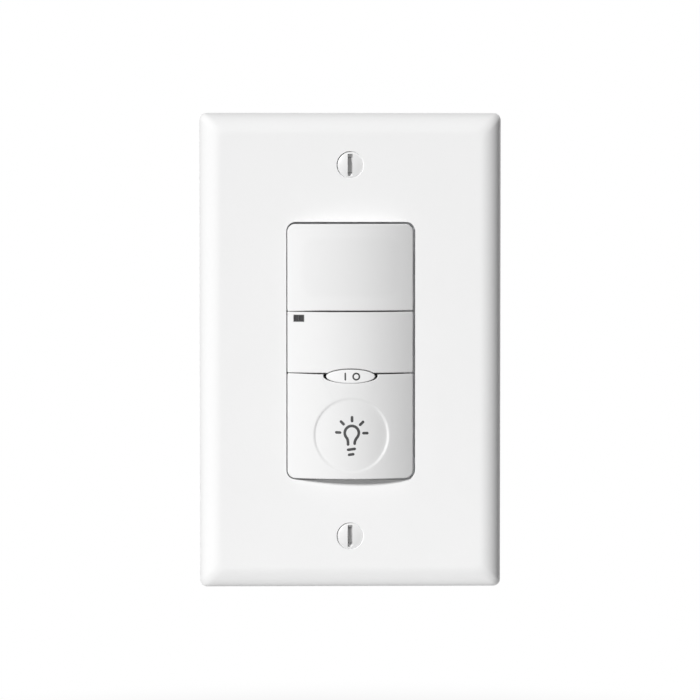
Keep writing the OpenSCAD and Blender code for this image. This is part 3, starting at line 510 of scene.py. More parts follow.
# %% Face outline
lens_low, lens_high = box("fresnel_lens")
plate_low, plate_high = box("wall_plate")
FRONT = plate_low[1]
HALF_W = lens_high[0]
CROWN = lens_low[1]
EDGE = FRONT - 0.5
SEAT = FRONT + 1.0
BEND_R = (HALF_W ** 2 + (EDGE - CROWN) ** 2) / (2 * (EDGE - CROWN))
TOP = lens_high[2]
BOTTOM = box("push_button")[0][2]
GAP = 0.45
SEAM = 0.37
LENS_TOP = TOP - 0.16
LENS_BOTTOM = TOP - 22.55
COVER_TOP = LENS_BOTTOM - SEAM
COVER_BOTTOM = COVER_TOP - 15.81
BUTTON_TOP = COVER_BOTTOM - SEAM
ROUND = 0.28
ROUND_LAND = 0.15
DRAFT = 0.12
PLAY = np.array([0.08, 0])
PINCH = 0.22
PINCH_FROM = -8
PINCH_RUN = 8
PINCH_NEAR = 3
FACE_CORNER = 2.0
SEAM_CORNER = 0.3
LENS_WALL = 1.0
FACE_WALL = 1.6
MIDDLE_RINGS = (0, 1.5, 3)


def bulge(points, proud=0.0):
    """The depth of the face: its axis less the root of the bend radius squared less x squared."""
    return CROWN + BEND_R - np.sqrt((BEND_R + proud) ** 2 - points[..., 0] ** 2)


def straight(start, end, steps):
    """Points an even step apart between two ends, without the ends."""
    share = np.arange(1, steps)[:, None] / steps
    return start + (end - start) * share


def outline(right, top, bottom, top_r, bottom_r, notch_above=None, notch_below=None):
    """A loop from the right, anticlockwise: four corner arcs, and sides that may run along a notch."""
    high = top - top_r
    low = bottom + bottom_r
    corners = [(right - top_r, high, top_r), (top_r - right, high, top_r),
               (bottom_r - right, low, bottom_r), (right - bottom_r, low, bottom_r)]
    arcs = []
    for number, (x, z, r) in enumerate(corners):
        arcs.append(np.array([x, z]) + r * unit(arc(90 * number, 90 * number + 90, 10)))
    loop = []
    for number, notch in enumerate([notch_above, None, notch_below, None]):
        start = arcs[number][-1]
        end = arcs[(number + 1) % 4][0]
        loop.append(arcs[number])
        if notch is None:
            loop.append(straight(start, end, 40))
        else:
            loop += [straight(start, notch[0], 16), notch, straight(notch[-1], end, 16)]
    return np.concatenate(loop)


def pinched(loop, level, way, inset):
    """Narrows the mouth of a seam towards its left end: points near it move up or down by a ramp in x."""
    near = np.clip(1 - np.abs(loop[:, 1] - level) / PINCH_NEAR, 0, 1)
    ramp = np.clip((PINCH_FROM - loop[:, 0]) / PINCH_RUN, 0, 1)
    at_mouth = inset >= 0
    return loop + np.stack([0 * near, way * PINCH * near * ramp * at_mouth], -1)


def oval_arc(a, b, middle, level, above):
    """The part of an oval above or below a level, from end to end: a cos t and b sin t."""
    start = np.arcsin((level - middle) / b)
    turn = np.linspace(np.pi - start, start, 61) if above else np.linspace(start, -np.pi - start, 91)
    return np.array([0, middle]) + (a, b) * unit(turn)


def solid_loops(rows):
    """A sheet from pairs of a loop in X and Z and its depth."""
    grid = [np.stack([loop[:, 0], depth + 0 * loop[:, 0], loop[:, 1]], -1) for loop, depth in rows]
    return np.stack(grid), False, True


def rounded(loop_at, front, radius, steps, share=1):
    """The rows of a round edge: its inset is r less r sin a, and it falls by r less r cos a, or a share."""
    rows = []
    for turn in arc(0, 90, steps):
        loop = loop_at(radius * (1 - math.sin(turn)))
        rows.append((loop, front(loop) + radius * (1 - math.cos(turn)) * share))
    return rows


def shell(outline_at, front, middle, rings, wall, share=1):
    """The loops of one shell of the face.

    They are rings about its middle, a fill out to the outline, the round edge or a share of its depth,
    the wall and the hollow.
    """
    middle = np.array(middle, float)
    lip = outline_at(ROUND + ROUND_LAND)
    bearing = np.unwrap(np.arctan2(lip[:, 1] - middle[1], lip[:, 0] - middle[0]))
    bearing = np.maximum.accumulate(bearing)
    loops = [middle + radius * unit(bearing) for radius in rings]
    loops += [loops[-1] + (lip - loops[-1]) * part for part in np.linspace(0, 1, 13)[1:]]
    rows = [(loop, front(loop)) for loop in loops]
    rows += rounded(outline_at, front, ROUND, 9, share)
    inside = outline_at(wall)
    rows += [(outline_at(-DRAFT), SEAT), (inside, SEAT)]
    for part in (1, 0.75, 0.5, 0.25, 0):
        loop = middle + (inside - middle) * part
        rows.append((loop, bulge(loop) + wall))
    return solid_loops(rows)


print("face", 2 * HALF_W, "by", TOP - BOTTOM, "mm, bend radius", round(BEND_R, 2), "mm")

# %% [markdown]
# ## The lens
# The sensor looks out through a milky polyethylene lens. Its outside is smooth and its edges are soft, as
# thin mouldings are. Two snap legs hold it in the chassis.

# %% Lens
def inset_radius(radius, inset):
    """A corner radius that shrinks with the inset and stays a little above nothing."""
    return max(radius - inset, 0.05)


def lens_outline(inset):
    """The lens's loop at an inset: two round corners at the top, two small ones at the seam."""
    loop = outline(HALF_W - inset, LENS_TOP - inset, LENS_BOTTOM + inset,
                   inset_radius(FACE_CORNER, inset), inset_radius(SEAM_CORNER, inset))
    return pinched(loop, LENS_BOTTOM, -1, inset) - PLAY


LEG_HALF = 2.25


def snap_legs(z):
    """Two legs on the side walls: the outline of a thin strip with a barb at its end, carried upwards."""
    leg = np.array([(13.1, SEAT - 0.8), (14.35, SEAT - 0.8), (14.35, -1.6), (14.9, -1.6), (14.9, -0.95),
                    (14.4, -0.6), (13.1, -0.6)])
    middle = np.array([13.7, -1.2])
    return [bar(leg * (side, 1), middle * (side, 1), z - LEG_HALF, z + LEG_HALF, "Z") for side in (-1, 1)]


lens_z = (TOP + LENS_BOTTOM) / 2
lens_mesh = surface("lens", [shell(lens_outline, bulge, (0, lens_z), MIDDLE_RINGS, LENS_WALL)])
lens_mesh = carve(lens_mesh, snap_legs(lens_z), "UNION")
stand_in("lens", lens_mesh, "fresnel_lens")

# %% [markdown]
# ## The cover and its window
# The cover hides the two trimmers. Its lower edge makes room for the oval badge, and a small square hole at
# its upper left holds the dark indicator window. Two stakes on its back hold the badge's tongue.

# %% Cover
BADGE_A = 6.35
BADGE_B = 1.8
BADGE_Z = COVER_BOTTOM - 0.86
BADGE_GAP = 0.22
STAKE_R = 0.6
STAKE_X = 2.6
STAKE_Z = -2.2
HOLE_ROOM = np.array([0.05, 3, 0.05])


def cover_outline(inset):
    """The cover's loop at an inset: four small corners, and the badge's oval cut from the lower side."""
    bottom = COVER_BOTTOM + inset
    notch = oval_arc(BADGE_A + BADGE_GAP + inset, BADGE_B + BADGE_GAP + inset, BADGE_Z, bottom, True)
    small = inset_radius(SEAM_CORNER, inset)
    return outline(HALF_W - inset, COVER_TOP - inset, bottom, small, small, notch_below=notch) - PLAY


bezel_low, bezel_high = box("window_bezel")
cover_z = (COVER_TOP + COVER_BOTTOM) / 2
cover_mesh = surface("cover", [shell(cover_outline, bulge, (0, cover_z), MIDDLE_RINGS, FACE_WALL)])
cover_mesh = carve(cover_mesh, [slab(bezel_low - HOLE_ROOM, bezel_high + HOLE_ROOM)])
stake = rod(STAKE_R, CROWN + 0.8, CROWN + 3.54)
stakes = copies(stake, [(side * STAKE_X, 0, STAKE_Z) for side in (-1, 1)])
cover_mesh = carve(cover_mesh, snap_legs(cover_z - 1.0) + stakes, "UNION")
stand_in("cover", cover_mesh, "middle_cover")

# %% [markdown]
# ## The push button
# The button's face sinks into a round finger dish whose floor bends a little more than the face, so its rim
# is deeper at the sides than at the top. Behind it sit the post for the tact switch, two hinge lugs with
# pins, and a collar and peg for each return spring. The hinge's place is read from the record, so the
# button turns about its own pins.

# %% Button
DISH_R = 9.53
DISH = np.array([0.1, BOTTOM + 11.4])
DISH_DEPTH = 0.12
DISH_BEND = 26.5
RIM = 0.85
NOTCH_SIDE = 0.7
NOTCH_UNDER = 0.04
FAINT = 0.85


def button_outline(inset):
    """The button's loop at an inset: round corners below, and a notch for the badge in the upper side."""
    top = BUTTON_TOP - inset
    side = BADGE_A + NOTCH_SIDE + inset
    notch = oval_arc(side, BADGE_B + NOTCH_UNDER + inset * 0.5, BADGE_Z, BADGE_Z, False)
    ends = np.array([[side, top]])
    notch = np.concatenate([ends, notch, ends * (-1, 1)])
    loop = outline(HALF_W - inset, top, BOTTOM + inset, inset_radius(SEAM_CORNER, inset),
                   inset_radius(FACE_CORNER, inset), notch_above=notch)
    return pinched(loop, BUTTON_TOP, 1, inset) - PLAY


def faint_edge(loop):
    """The share of the button's round edge: one, but small along the badge's lower side."""
    within = np.clip((BADGE_A - np.abs(loop[:, 0])) / 1.5, 0, 1)
    below = np.clip((BADGE_Z - loop[:, 1]) / 0.6, 0, 1)
    near = loop[:, 1] > BADGE_Z - BADGE_B - 1
    return 1 - FAINT * within * below * near


def dished(points):
    """The bulge, and inside the dish its floor: a smooth step blends the two across the rim."""
    reach = np.linalg.norm(points - DISH, axis=-1)
    share = np.clip((DISH_R + RIM / 2 - reach) / RIM, 0, 1)
    share = share * share * (3 - 2 * share)
    across = np.clip(points[..., 0], -20, 20)
    floor = CROWN + DISH_DEPTH + DISH_BEND - np.sqrt(DISH_BEND ** 2 - across ** 2)
    return bulge(points) + (floor - bulge(points)) * share


rim_start = DISH_R - RIM / 2
rim_end = DISH_R + RIM / 2
rings = np.concatenate([np.linspace(0, rim_start, 14), np.linspace(rim_start, rim_end, 11)[1:]])
edge_share = faint_edge(button_outline(0))
button_mesh = surface("button", [shell(button_outline, dished, DISH, rings, FACE_WALL, edge_share)])

POST_R = 1.3
LUG_R = 2.0
LUG_X = np.array([12.75, 14.25])
PIN_R = 1.0
PIN_X = np.array([13.5, 16.0])
COLLAR_R = 2.6
PEG_R = 1.5
SPRING_X = 8.0
hinge = next(joint for joint in frame["record"]["behaviour"]["joints"] if joint["name"] == "button_press")
pivot_y, pivot_z = np.array(hinge["pos_m"][1:]) / MM
plunger_front = box("tact_plunger")[0][1]
plunger_z = centre_of("tact_plunger")[2]
spring_z = centre_of("button_springs")[2]
lug_end = np.array([pivot_y, pivot_z]) + LUG_R * unit(arc(-90, 90, 17))
lug_root = [(EDGE - 0.4, pivot_z + LUG_R), (EDGE - 0.4, pivot_z - LUG_R)]
lug = np.concatenate([lug_root, lug_end])
thick_parts = [rod(POST_R, CROWN + 1.0, plunger_front - 0.1, (0, 0, plunger_z))]
thin_parts = []
for side in (-1, 1):
    thick_parts.append(bar(lug, (EDGE + 1, pivot_z), *sorted(side * LUG_X), "X"))
    thick_parts.append(rod(COLLAR_R, CROWN + 2.06, SEAT - 1.0, (side * SPRING_X, 0, spring_z)))
    thin_parts.append(rod(PIN_R, *sorted(side * PIN_X), (0, pivot_y, pivot_z), "X"))
    thin_parts.append(rod(PEG_R, SEAT - 1.75, SEAT + 0.5, (side * SPRING_X, 0, spring_z)))
button_mesh = carve(carve(button_mesh, thick_parts, "UNION"), thin_parts, "UNION")
stand_in("button", button_mesh, "push_button", "button")

# %% [markdown]
# ## The badge
# A small oval of whiter plastic closes the seam between cover and button and stands a little proud of both.
# It is left plain except for the usual bar and ring of a switch. Its loops grow from a point in its middle
# to the rounded edge. A flat tongue behind it reaches up under the cover.

# %% Badge
badge_white = plastic("badge white", PLATE_WHITE, 0.5, Specular_IOR_Level=0.3)
BADGE_ROUND = 0.3
BADGE_PROUD = 0.35
TONGUE_HALF = 4.2
TONGUE_T = 1.1
badge_middle = np.array([0, BADGE_Z])


def oval(inset):
    """The badge's loop at an inset: a cos t and b sin t about its middle."""
    turn = np.linspace(0, 2 * np.pi, 160, endpoint=False)
    return badge_middle + (BADGE_A - inset, BADGE_B - inset) * unit(turn) - PLAY


def badge_front(points):
    """The depth of the badge's front: the bulge of a face that stands a little proud."""
    return bulge(points, BADGE_PROUD)


rows = []
for share in np.linspace(0, 1, 8):
    loop = badge_middle + (oval(BADGE_ROUND + 0.1) - badge_middle) * share
    rows.append((loop, badge_front(loop)))
rows += rounded(oval, badge_front, BADGE_ROUND, 8)
badge_back, tongue_top = box("oval_badge")[1][1:]
rows += [(oval(0), badge_back), (oval(BADGE_B), badge_back)]
tongue = slab((-TONGUE_HALF, badge_back - TONGUE_T, BADGE_Z), (TONGUE_HALF, badge_back, tongue_top))
badge_mesh = surface("badge", [solid_loops(rows), tongue])
stand_in("badge", badge_mesh, "oval_badge", finish=badge_white)

# %% [markdown]
# ## Printed marks
# The light bulb in the dish and the bar and ring on the badge are pad printed, so they are thin films of
# dark grey ink that follow the surface under them. Each line is a narrow ribbon with round ends, carried
# along a path.

# %% Print
LINE = 0.71
FILM = 0.02
CAP_STEPS = 7
WIDE_STEPS = 5
ink = plastic("printing ink", (0.036, 0.036, 0.037), 0.5)


def ribbon(path, ground, width=LINE):
    """A film along a path: points lie across it, and at both ends its half width falls like a circle's."""
    path = np.asarray(path, float)
    step = np.gradient(path, axis=0)
    step = step / np.linalg.norm(step, axis=1, keepdims=True)
    half = width / 2
    cap = arc(0, 90, CAP_STEPS)
    first = path[0] - np.outer(np.cos(cap), step[0]) * half
    last = path[-1] + np.outer(np.cos(cap[::-1]), step[-1]) * half
    spine = np.concatenate([first, path[1:-1], last])
    way = np.concatenate([np.repeat(step[:1], CAP_STEPS, 0), step[1:-1],
                          np.repeat(step[-1:], CAP_STEPS, 0)])
    reach = half * np.concatenate([np.sin(cap), np.ones(len(path) - 2), np.sin(cap[::-1])])
    front = np.linspace(-1, 1, WIDE_STEPS)
    across = np.concatenate([front, -front])
    side = np.stack([-way[:, 1], way[:, 0]], -1)
    flat = spine[:, None] + side[:, None] * (reach[:, None] * across)[..., None]
    lift = np.repeat([-FILM, FILM], WIDE_STEPS)
    depth = ground(flat) + lift
    return np.stack([flat[..., 0], depth, flat[..., 1]], -1), False, True


def line(x0, z0, x1, z1):
    """A straight path between two points."""
    return np.array([x0, z0]) + np.array([x1 - x0, z1 - z0]) * np.linspace(0, 1, 9)[:, None]


def curve(a, b, c, d):
    """A cubic path from a to d that leaves towards b and arrives from c."""
    t = np.linspace(0, 1, 13)[:, None]
    a, b, c, d = (np.array(point, float) for point in (a, b, c, d))
    return a * (1 - t) ** 3 + 3 * b * t * (1 - t) ** 2 + 3 * c * t * t * (1 - t) + d * t ** 3


BULB_R = 1.82
BULB = np.array([0.1, 0.63])
globe = BULB + BULB_R * unit(arc(-40, 220, 61))
left_neck = curve(globe[-1], globe[-1] + (0.27, -0.36), (-0.83, -1.35), (-0.86, -2.35))
right_neck = curve((0.84, -2.15), (0.86, -1.3), globe[0] + (-0.27, -0.36), globe[0])
bulb = [np.concatenate([right_neck[:-1], globe, left_neck[1:]])]
bulb += [line(-0.85, -3.75, 0.85, -3.52), line(-0.6, -5.05, 0.45, -4.91)]
bulb += [line(0.16, 3.72, 0.16, 4.7), line(-2.02, 2.9, -2.7, 3.58), line(2.28, 2.74, 3.02, 3.48)]
bulb += [line(-2.95, 0.72, -3.9, 0.76), line(3.15, 0.56, 4.1, 0.56)]
SIGN = DISH + (0, 0.03)
bulb = [ribbon(path + SIGN, dished) for path in bulb]
piece("bulb_sign", surface("bulb_sign", bulb), ink, "button")

MARK_LINE = 0.42
MARK_R = 0.82
BAR_X = -1.5
RING_X = 1.35
ring = np.array([RING_X, BADGE_Z]) + MARK_R * unit(arc(90, 450, 49))
stroke = line(BAR_X, BADGE_Z - MARK_R, BAR_X, BADGE_Z + MARK_R)
marks = [ribbon(path, badge_front, MARK_LINE) for path in (stroke, ring)]
piece("badge_marks", surface("badge_marks", marks), ink)

# %% [markdown]
# ## The wall plate
# The plate is one closed profile carried round a rectangle: the rim, the rounded shoulder, the flat front,
# the edge of the opening and the hollow behind. The loops keep a small corner radius all the way in, which
# leaves the soft mitre that the moulded corner has. Collars for the screws are added, and countersinks are
# cut: a short straight ledge, a cone, then the hole for the thread.

# %% Wall plate
SHOULDER = 5.8
FLAT_AT = SHOULDER - 0.15
PLATE_CORNER = 1.8
PLATE_WALL = 2.2
RIM_W = 2.6
SCREW_Z = 48.42
SCREW_X = -0.1
HEAD_R = 3.35
THREAD_R = 1.75
SINK = 0.22
LEDGE = 0.22
CONE = 2.013
COLLAR_WALL = 0.95
COLLAR_END = -1.7
FOOT = 0.25
LIP = 0.12
HOLLOW_ROUND = 0.4
OPENING_CORNER = 2.45
plate_w, plate_h = plate_high[0], plate_high[2]


def plate_loop(inset):
    """The plate's rectangle at an inset; the corner radius stays the same."""
    return outline(plate_w - inset, plate_h - inset, inset - plate_h, PLATE_CORNER, PLATE_CORNER)


def opening_loop(outset):
    """The opening's rectangle at an outset; the corner radius grows with it."""
    corner = OPENING_CORNER + outset
    half = TOP + GAP + outset
    return outline(HALF_W + GAP + outset, half, -half, corner, corner) + PLAY


steepest = math.degrees(math.asin(FLAT_AT / SHOULDER))
hollow = FRONT + PLATE_WALL
rows = [(plate_loop(RIM_W), 0.0), (plate_loop(FOOT), 0.0)]
rows += [(plate_loop(0.07), -0.07), (plate_loop(0), -FOOT)]
for turn in arc(steepest, 0, 22):
    rows.append((plate_loop(FLAT_AT - SHOULDER * math.sin(turn)), FRONT + SHOULDER * (1 - math.cos(turn))))
front_outer = plate_loop(FLAT_AT + 0.1)
front_inner = opening_loop(LIP + 0.1)
for share in np.linspace(0, 1, 6):
    rows.append((front_outer + (front_inner - front_outer) * share, FRONT))
rows += rounded(opening_loop, lambda loop: FRONT, LIP, 6)
rows += [(opening_loop(0), hollow - 0.1), (opening_loop(0.1), hollow)]
rows += [(plate_loop(RIM_W + HOLLOW_ROUND), hollow), (plate_loop(RIM_W + 0.12), hollow + 0.12)]
rows += [(plate_loop(RIM_W), hollow + HOLLOW_ROUND)]
plate_mesh = surface("plate", [(solid_loops(rows)[0], True, True)])
mouth_r = HEAD_R + SINK
hole_r = THREAD_R + SINK
collar = rod(hole_r + COLLAR_WALL, hollow - 0.5, COLLAR_END)
radius = [0, mouth_r, mouth_r, hole_r, hole_r, 0]
height = [FRONT - 1, FRONT - 1, FRONT + LEDGE, FRONT + LEDGE + CONE, 1, 1]
sink = turned(radius, height, steps=96)
spots = [(SCREW_X, 0, z) for z in (-SCREW_Z, SCREW_Z)]
plate_mesh = carve(plate_mesh, copies(collar, spots), "UNION")
plate_mesh = carve(plate_mesh, copies(sink, spots))
stand_in("plate", plate_mesh, "wall_plate")

# %% [markdown]
# ## Screws with threads
# Each screw is one profile: the crown of its head, the flank, then a shank whose radius falls from its
# crest by a triangle wave of the height over the pitch less the turn. A bump could fake the thread, but it
# would vanish from the outline. A slab cuts the slot, closed at both ends as a cutter leaves it.

# %% Screws
PITCH = 0.794
THREAD_DEPTH = 0.3 * PITCH
TIP = 0.8


def threaded(radius, start, end, steps=40):
    """The rows of a thread: the crest less the depth times a triangle wave.

    The wave runs over the height by the pitch less the turn by a whole turn, and fades at both ends.
    """
    height = np.linspace(start, end, max(int((end - start) / PITCH * 8), 4))
    turn = np.arange(steps) / steps
    wave = np.abs((height[:, None] / PITCH - turn) % 1 * 2 - 1)
    fade = np.clip(np.minimum(height - start, end - height) / PITCH, 0, 1)[:, None]
    return radius - THREAD_DEPTH * wave * fade, height


def screw(head, radius, start, end, steps=40):
    """A screw's sheet on the Y axis: the head's radii and heights, the thread and the tip."""
    head = np.asarray(head, float)
    crest, height = threaded(radius, start, end, steps=steps)
    crown = np.repeat(head[:, :1], steps, axis=1)
    tip = np.repeat([[radius * TIP], [0.0]], steps, axis=1)
    radii = np.concatenate([crown, crest, tip])
    return radii, np.concatenate([head[:, 1], height, [end + 0.12, end + 0.12]])


def pan_head(radius, depth, edge=0.6):
    """The profile of a pan head from its crown: a flat top, a round shoulder, the flank, the underside."""
    turn = arc(0, 90, 7)
    shoulder = np.stack([radius - edge + edge * np.sin(turn), edge * (1 - np.cos(turn))], -1)
    return np.concatenate([[[0, 0], [radius - edge - 0.3, 0]], shoulder, [[radius, depth]]])


def fastener(name, node, sheet, cutter, spots):
    """The screws of one node: a screw and its cutter, moved to each spot."""
    stand_in(name, carve(surface(name, copies(sheet, spots)), copies(cutter, spots)), node)


DOME = 0.4
HEAD_SUNK = 0.36
HEAD_X = SCREW_X + 0.05
SCREW_END = 12.88
SLOT_LEFT = -0.76
SLOT_RIGHT = 0.5
SLOT_HALF = 2.85
SLOT_FLOOR = FRONT + 1.9
dome_r = (HEAD_R ** 2 + DOME ** 2) / (2 * DOME)
dome_turn = np.linspace(0, math.asin((HEAD_R - 0.06) / dome_r), 12)
dome = np.stack([dome_r * np.sin(dome_turn), dome_r * (1 - np.cos(dome_turn)) - DOME], -1)
oval_head = np.concatenate([dome, [[HEAD_R, 0.05], [THREAD_R, CONE - 0.25]]])
radii, heights = screw(oval_head, THREAD_R, CONE, SCREW_END, 64)
plate_screw = turned(radii, heights, (HEAD_X, FRONT + HEAD_SUNK, 0))
cutter = slab((SLOT_LEFT, FRONT - 2, -SLOT_HALF), (SLOT_RIGHT, SLOT_FLOOR, SLOT_HALF))
spots = [(0, 0, z) for z in (-SCREW_Z, SCREW_Z)]
fastener("plate_screw_pair", "plate_screws", plate_screw, cutter, spots)

# %% [markdown]
# ## The screws behind the plate
# Two pan heads hold the yoke to the wall box, each with a thin neck that a fibre square keeps captive. A
# hexagon on a washer takes the ground wire: its radius is the distance from a centre to a hexagon's side.

# %% Box and ground screws
SLOT_W = 1.25
SLOT_DEPTH = 1.0
SLOT_REACH = 4.5
BOX_HEAD_R = 3.5
BOX_HEAD_T = 1.7
NECK_R = 1.45
low, high = box("box_screws")
box_z = high[2] - BOX_HEAD_R
neck = np.array([[NECK_R, BOX_HEAD_T], [NECK_R, 3.8]])
radii, heights = screw(np.concatenate([pan_head(BOX_HEAD_R, BOX_HEAD_T), neck]), THREAD_R, 4.0, 21.88)
cutter = slab((-SLOT_REACH, -1, -SLOT_W / 2), (SLOT_REACH, SLOT_DEPTH, SLOT_W / 2))
spots = [(0, low[1], z) for z in (-box_z, box_z)]
fastener("box_screw_pair", "box_screws", turned(radii, heights, steps=40), cutter, spots)

HEX_HALF = 2.25
turn = np.arange(48) / 48 * 2 * np.pi
hexagon = HEX_HALF / np.cos((turn + np.pi / 6) % (np.pi / 3) - np.pi / 6)
crown = [0 * turn, 0 * turn + 1.95, np.minimum(hexagon, 2.3), hexagon, hexagon]
flange = [0 * turn + radius for radius in (3.4, 3.5, 3.5, 3.35)]
crest, thread = threaded(THREAD_R, 2.4, 4.48, steps=48)
tip = [0 * turn + THREAD_R * TIP, 0 * turn]
radii = np.concatenate([crown, flange, crest, tip])
heights = np.concatenate([[0, 0, 0.12, 0.4, 1.8, 1.8, 1.9, 2.25, 2.4], thread, [4.6, 4.6]])
hex_screw = turned(radii, heights, along="X", steps=48)
cutter = slab((-1, -SLOT_REACH, -SLOT_W / 2), (SLOT_DEPTH, SLOT_REACH, SLOT_W / 2))
spot = (box("ground_screw")[0][0], *centre_of("ground_screw")[1:])
fastener("ground_hex_screw", "ground_screw", hex_screw, cutter, [spot])

# %% [markdown]
# Four long screws with small cross heads close the housing. Two crossing slabs could cut the cross, but a
# Boolean does better with one closed outline, so the plus sign is drawn round once. Three binding heads
# with plain slots clamp the wires.

# %% Housing and terminal screws
ARM = 0.3
CROSS = 1.235
CROSS_DEPTH = 0.8
HOUSING_HEAD_R = 1.9
HOUSING_HEAD_T = 1.6
arm = np.array([(ARM, ARM), (ARM, CROSS), (-ARM, CROSS)])
cross = np.concatenate([arm, arm[:, ::-1] * (-1, 1), -arm, arm[:, ::-1] * (1, -1)])
shank = np.array([[1.25, HOUSING_HEAD_T], [1.25, 33.7], [1.0, 34.0], [0, 34.0]])
profile = np.concatenate([pan_head(HOUSING_HEAD_R, HOUSING_HEAD_T, 0.5), shank])
long_screw = turned(profile[:, 0], -profile[:, 1], steps=40)
cutter = bar(cross, (0, 0), -CROSS_DEPTH, 1)
low, high = box("housing_screws")
spots = [(x, high[1], z) for x in (low[0] + HOUSING_HEAD_R, high[0] - HOUSING_HEAD_R)
         for z in (low[2] + HOUSING_HEAD_R, high[2] - HOUSING_HEAD_R)]
fastener("housing_screw_set", "housing_screws", long_screw, cutter, spots)

BINDING_R = 3.6
BINDING_T = 1.9
BINDING_THREAD_R = 2.0
BINDING_SLOT_HALF = 0.6
BINDING_SLOT_DEPTH = 0.9
binding_head = np.concatenate([pan_head(BINDING_R, BINDING_T, 0.8), [[BINDING_THREAD_R, BINDING_T]]])
radii, heights = screw(binding_head, BINDING_THREAD_R, 2.0, 6.38)
TERMINALS = (("line_load_pair", "line_load_screws", 1), ("neutral_single", "neutral_screw", -1))
for name, node, side in TERMINALS:
    binding_screw = turned(radii, -side * heights, along="X", steps=40)
    near, far = sorted((-side * BINDING_SLOT_DEPTH, side))
    cutter = slab((near, -SLOT_REACH, -BINDING_SLOT_HALF), (far, SLOT_REACH, BINDING_SLOT_HALF))
    low, high = box(node)
    outer = high[0] if side > 0 else low[0]
    levels = sorted({round(low[2] + BINDING_R, 3), round(high[2] - BINDING_R, 3)})
    fastener(name, node, binding_screw, cutter, [(outer, centre_of(node)[1], z) for z in levels])

# %% [markdown]
# ## The return springs
# A spring is a round wire carried along a helix whose end turns lie flat. A press shortens the real coil
# against its rear seat; here it is drawn at rest, and the share of its length a press leaves is worked out
# but not used.

# %% Springs
def coil(radius, wire, turns, start, end, centre):
    """A tube round the path r cos a, r sin a, whose height climbs one wire in the first and last turn."""
    turn = np.linspace(0, turns, turns * 36 + 1)
    stops = (start + wire / 2, start + wire * 1.5, end - wire * 1.5, end - wire / 2)
    height = np.interp(turn, (0, 1, turns - 1, turns), stops)
    angle = 2 * np.pi * turn
    out = np.stack([np.cos(angle), 0 * angle, np.sin(angle)], -1)
    path = np.asarray(centre, float) + out * radius
    path[:, 1] = height
    way = np.gradient(path, axis=0)
    way = way / np.linalg.norm(way, axis=1, keepdims=True)
    side = np.cross(way, out)
    ring = np.linspace(0, 2 * np.pi, 14, endpoint=False)
    painted_border_light = np.full(len(path), wire / 2)
    painted_border_light[[0, -1]] = 0
    path[[0, -1]] = path[[1, -2]]
    spread = np.cos(ring)[:, None] * out[:, None] + np.sin(ring)[:, None] * side[:, None]
    return path[:, None] + painted_border_light[:, None, None] * spread, False, True


SPRING_R = 2.05
WIRE = 0.5
TURNS = 6
PRESS = 0.576
ends = [corner[1] for corner in box("button_springs")]
springs = [coil(SPRING_R, WIRE, TURNS, *ends, (side * SPRING_X, 0, spring_z)) for side in (-1, 1)]
spring_pair = stand_in("spring_pair", surface("spring_pair", springs), "button_springs")
1 - PRESS / (ends[1] - ends[0])
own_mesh(spring_pair)

# %% [markdown]
# ## Soft edges on the big solids
# The housing is moulded and the yoke is stamped, so neither has knife edges. Their CAD shapes are right, so
# copies of them are merged, and a Bevel rounds only the outer edges, which are chosen by where they lie.
# The yoke's zinc is dull: a bright one would mirror the room at the bottom of the gap round the face.

# %% Housing and yoke
def softened(name, node, width, chosen, finish=None):
    """A merged copy of a node; a sharp edge with both ends among the chosen points gets the bevel."""
    mesh = frame["nodes"][node].data.copy()
    mesh.name = name
    shape = bmesh.new()
    shape.from_mesh(mesh)
    bmesh.ops.remove_doubles(shape, verts=shape.verts, dist=MERGE * 5)
    bmesh.ops.dissolve_limit(shape, angle_limit=math.radians(0.5), verts=shape.verts, edges=shape.edges)
    shape.to_mesh(mesh)
    shape.free()
    mesh.shade_smooth()
    mesh.set_sharp_from_angle(angle=math.radians(30))
    points = np.empty(len(mesh.vertices) * 3, np.float32)
    mesh.vertices.foreach_get("co", points)
    ends = np.empty(len(mesh.edges) * 2, np.int32)
    mesh.edges.foreach_get("vertices", ends)
    sharp = np.empty(len(mesh.edges), bool)
    mesh.attributes["sharp_edge"].data.foreach_get("value", sharp)
    counted = chosen(points.reshape(-1, 3) / MM)[ends.reshape(-1, 2)].all(axis=1) & sharp
    weight = mesh.attributes.new("bevel_weight_edge", "FLOAT", "EDGE")
    weight.data.foreach_set("value", counted.astype(np.float32))
    made = stand_in(name, mesh, node, finish=finish)
    edge = made.modifiers.new("soft edge", "BEVEL")
    edge.limit_method = "WEIGHT"
    edge.width = width * MM
    edge.segments = 3
    edge.use_clamp_overlap = False
    flat = made.modifiers.new("flat faces", "WEIGHTED_NORMAL")
    flat.keep_sharp = True
    print(name, int(counted.sum()), "edges rounded")


housing_low, housing_high = box("rear_housing")
HOUSING_CORNER = 3.0
SKIN = 0.01
YOKE_SIDE = 15.2
YOKE_END = 50.2
HOUSING_SOFT = 0.45
YOKE_SOFT = 0.2


def housing_rim(points):
    """Points on the outer walls: the back edge, and the mouths of the terminal pockets."""
    past_x = np.abs(points[:, 0]) - housing_high[0]
    past_z = np.abs(points[:, 2]) - housing_high[2]
    corner = np.hypot(past_x + HOUSING_CORNER, past_z + HOUSING_CORNER)
    outer = (past_x > -SKIN) | (past_z > -SKIN)
    at_corner = (past_x > -HOUSING_CORNER) & (past_z > -HOUSING_CORNER)
    outer |= (corner > HOUSING_CORNER - 2 * SKIN) & at_corner
    ground_hole = (points[:, 2] < -24) & (points[:, 1] < 10)
    return outer & ~ground_hole & (points[:, 1] > housing_low[1] + 2)


def yoke_rim(points):
    """Points on the outer edge of the yoke, away from its holes."""
    return (np.abs(points[:, 0]) > YOKE_SIDE) | (np.abs(points[:, 2]) > YOKE_END)


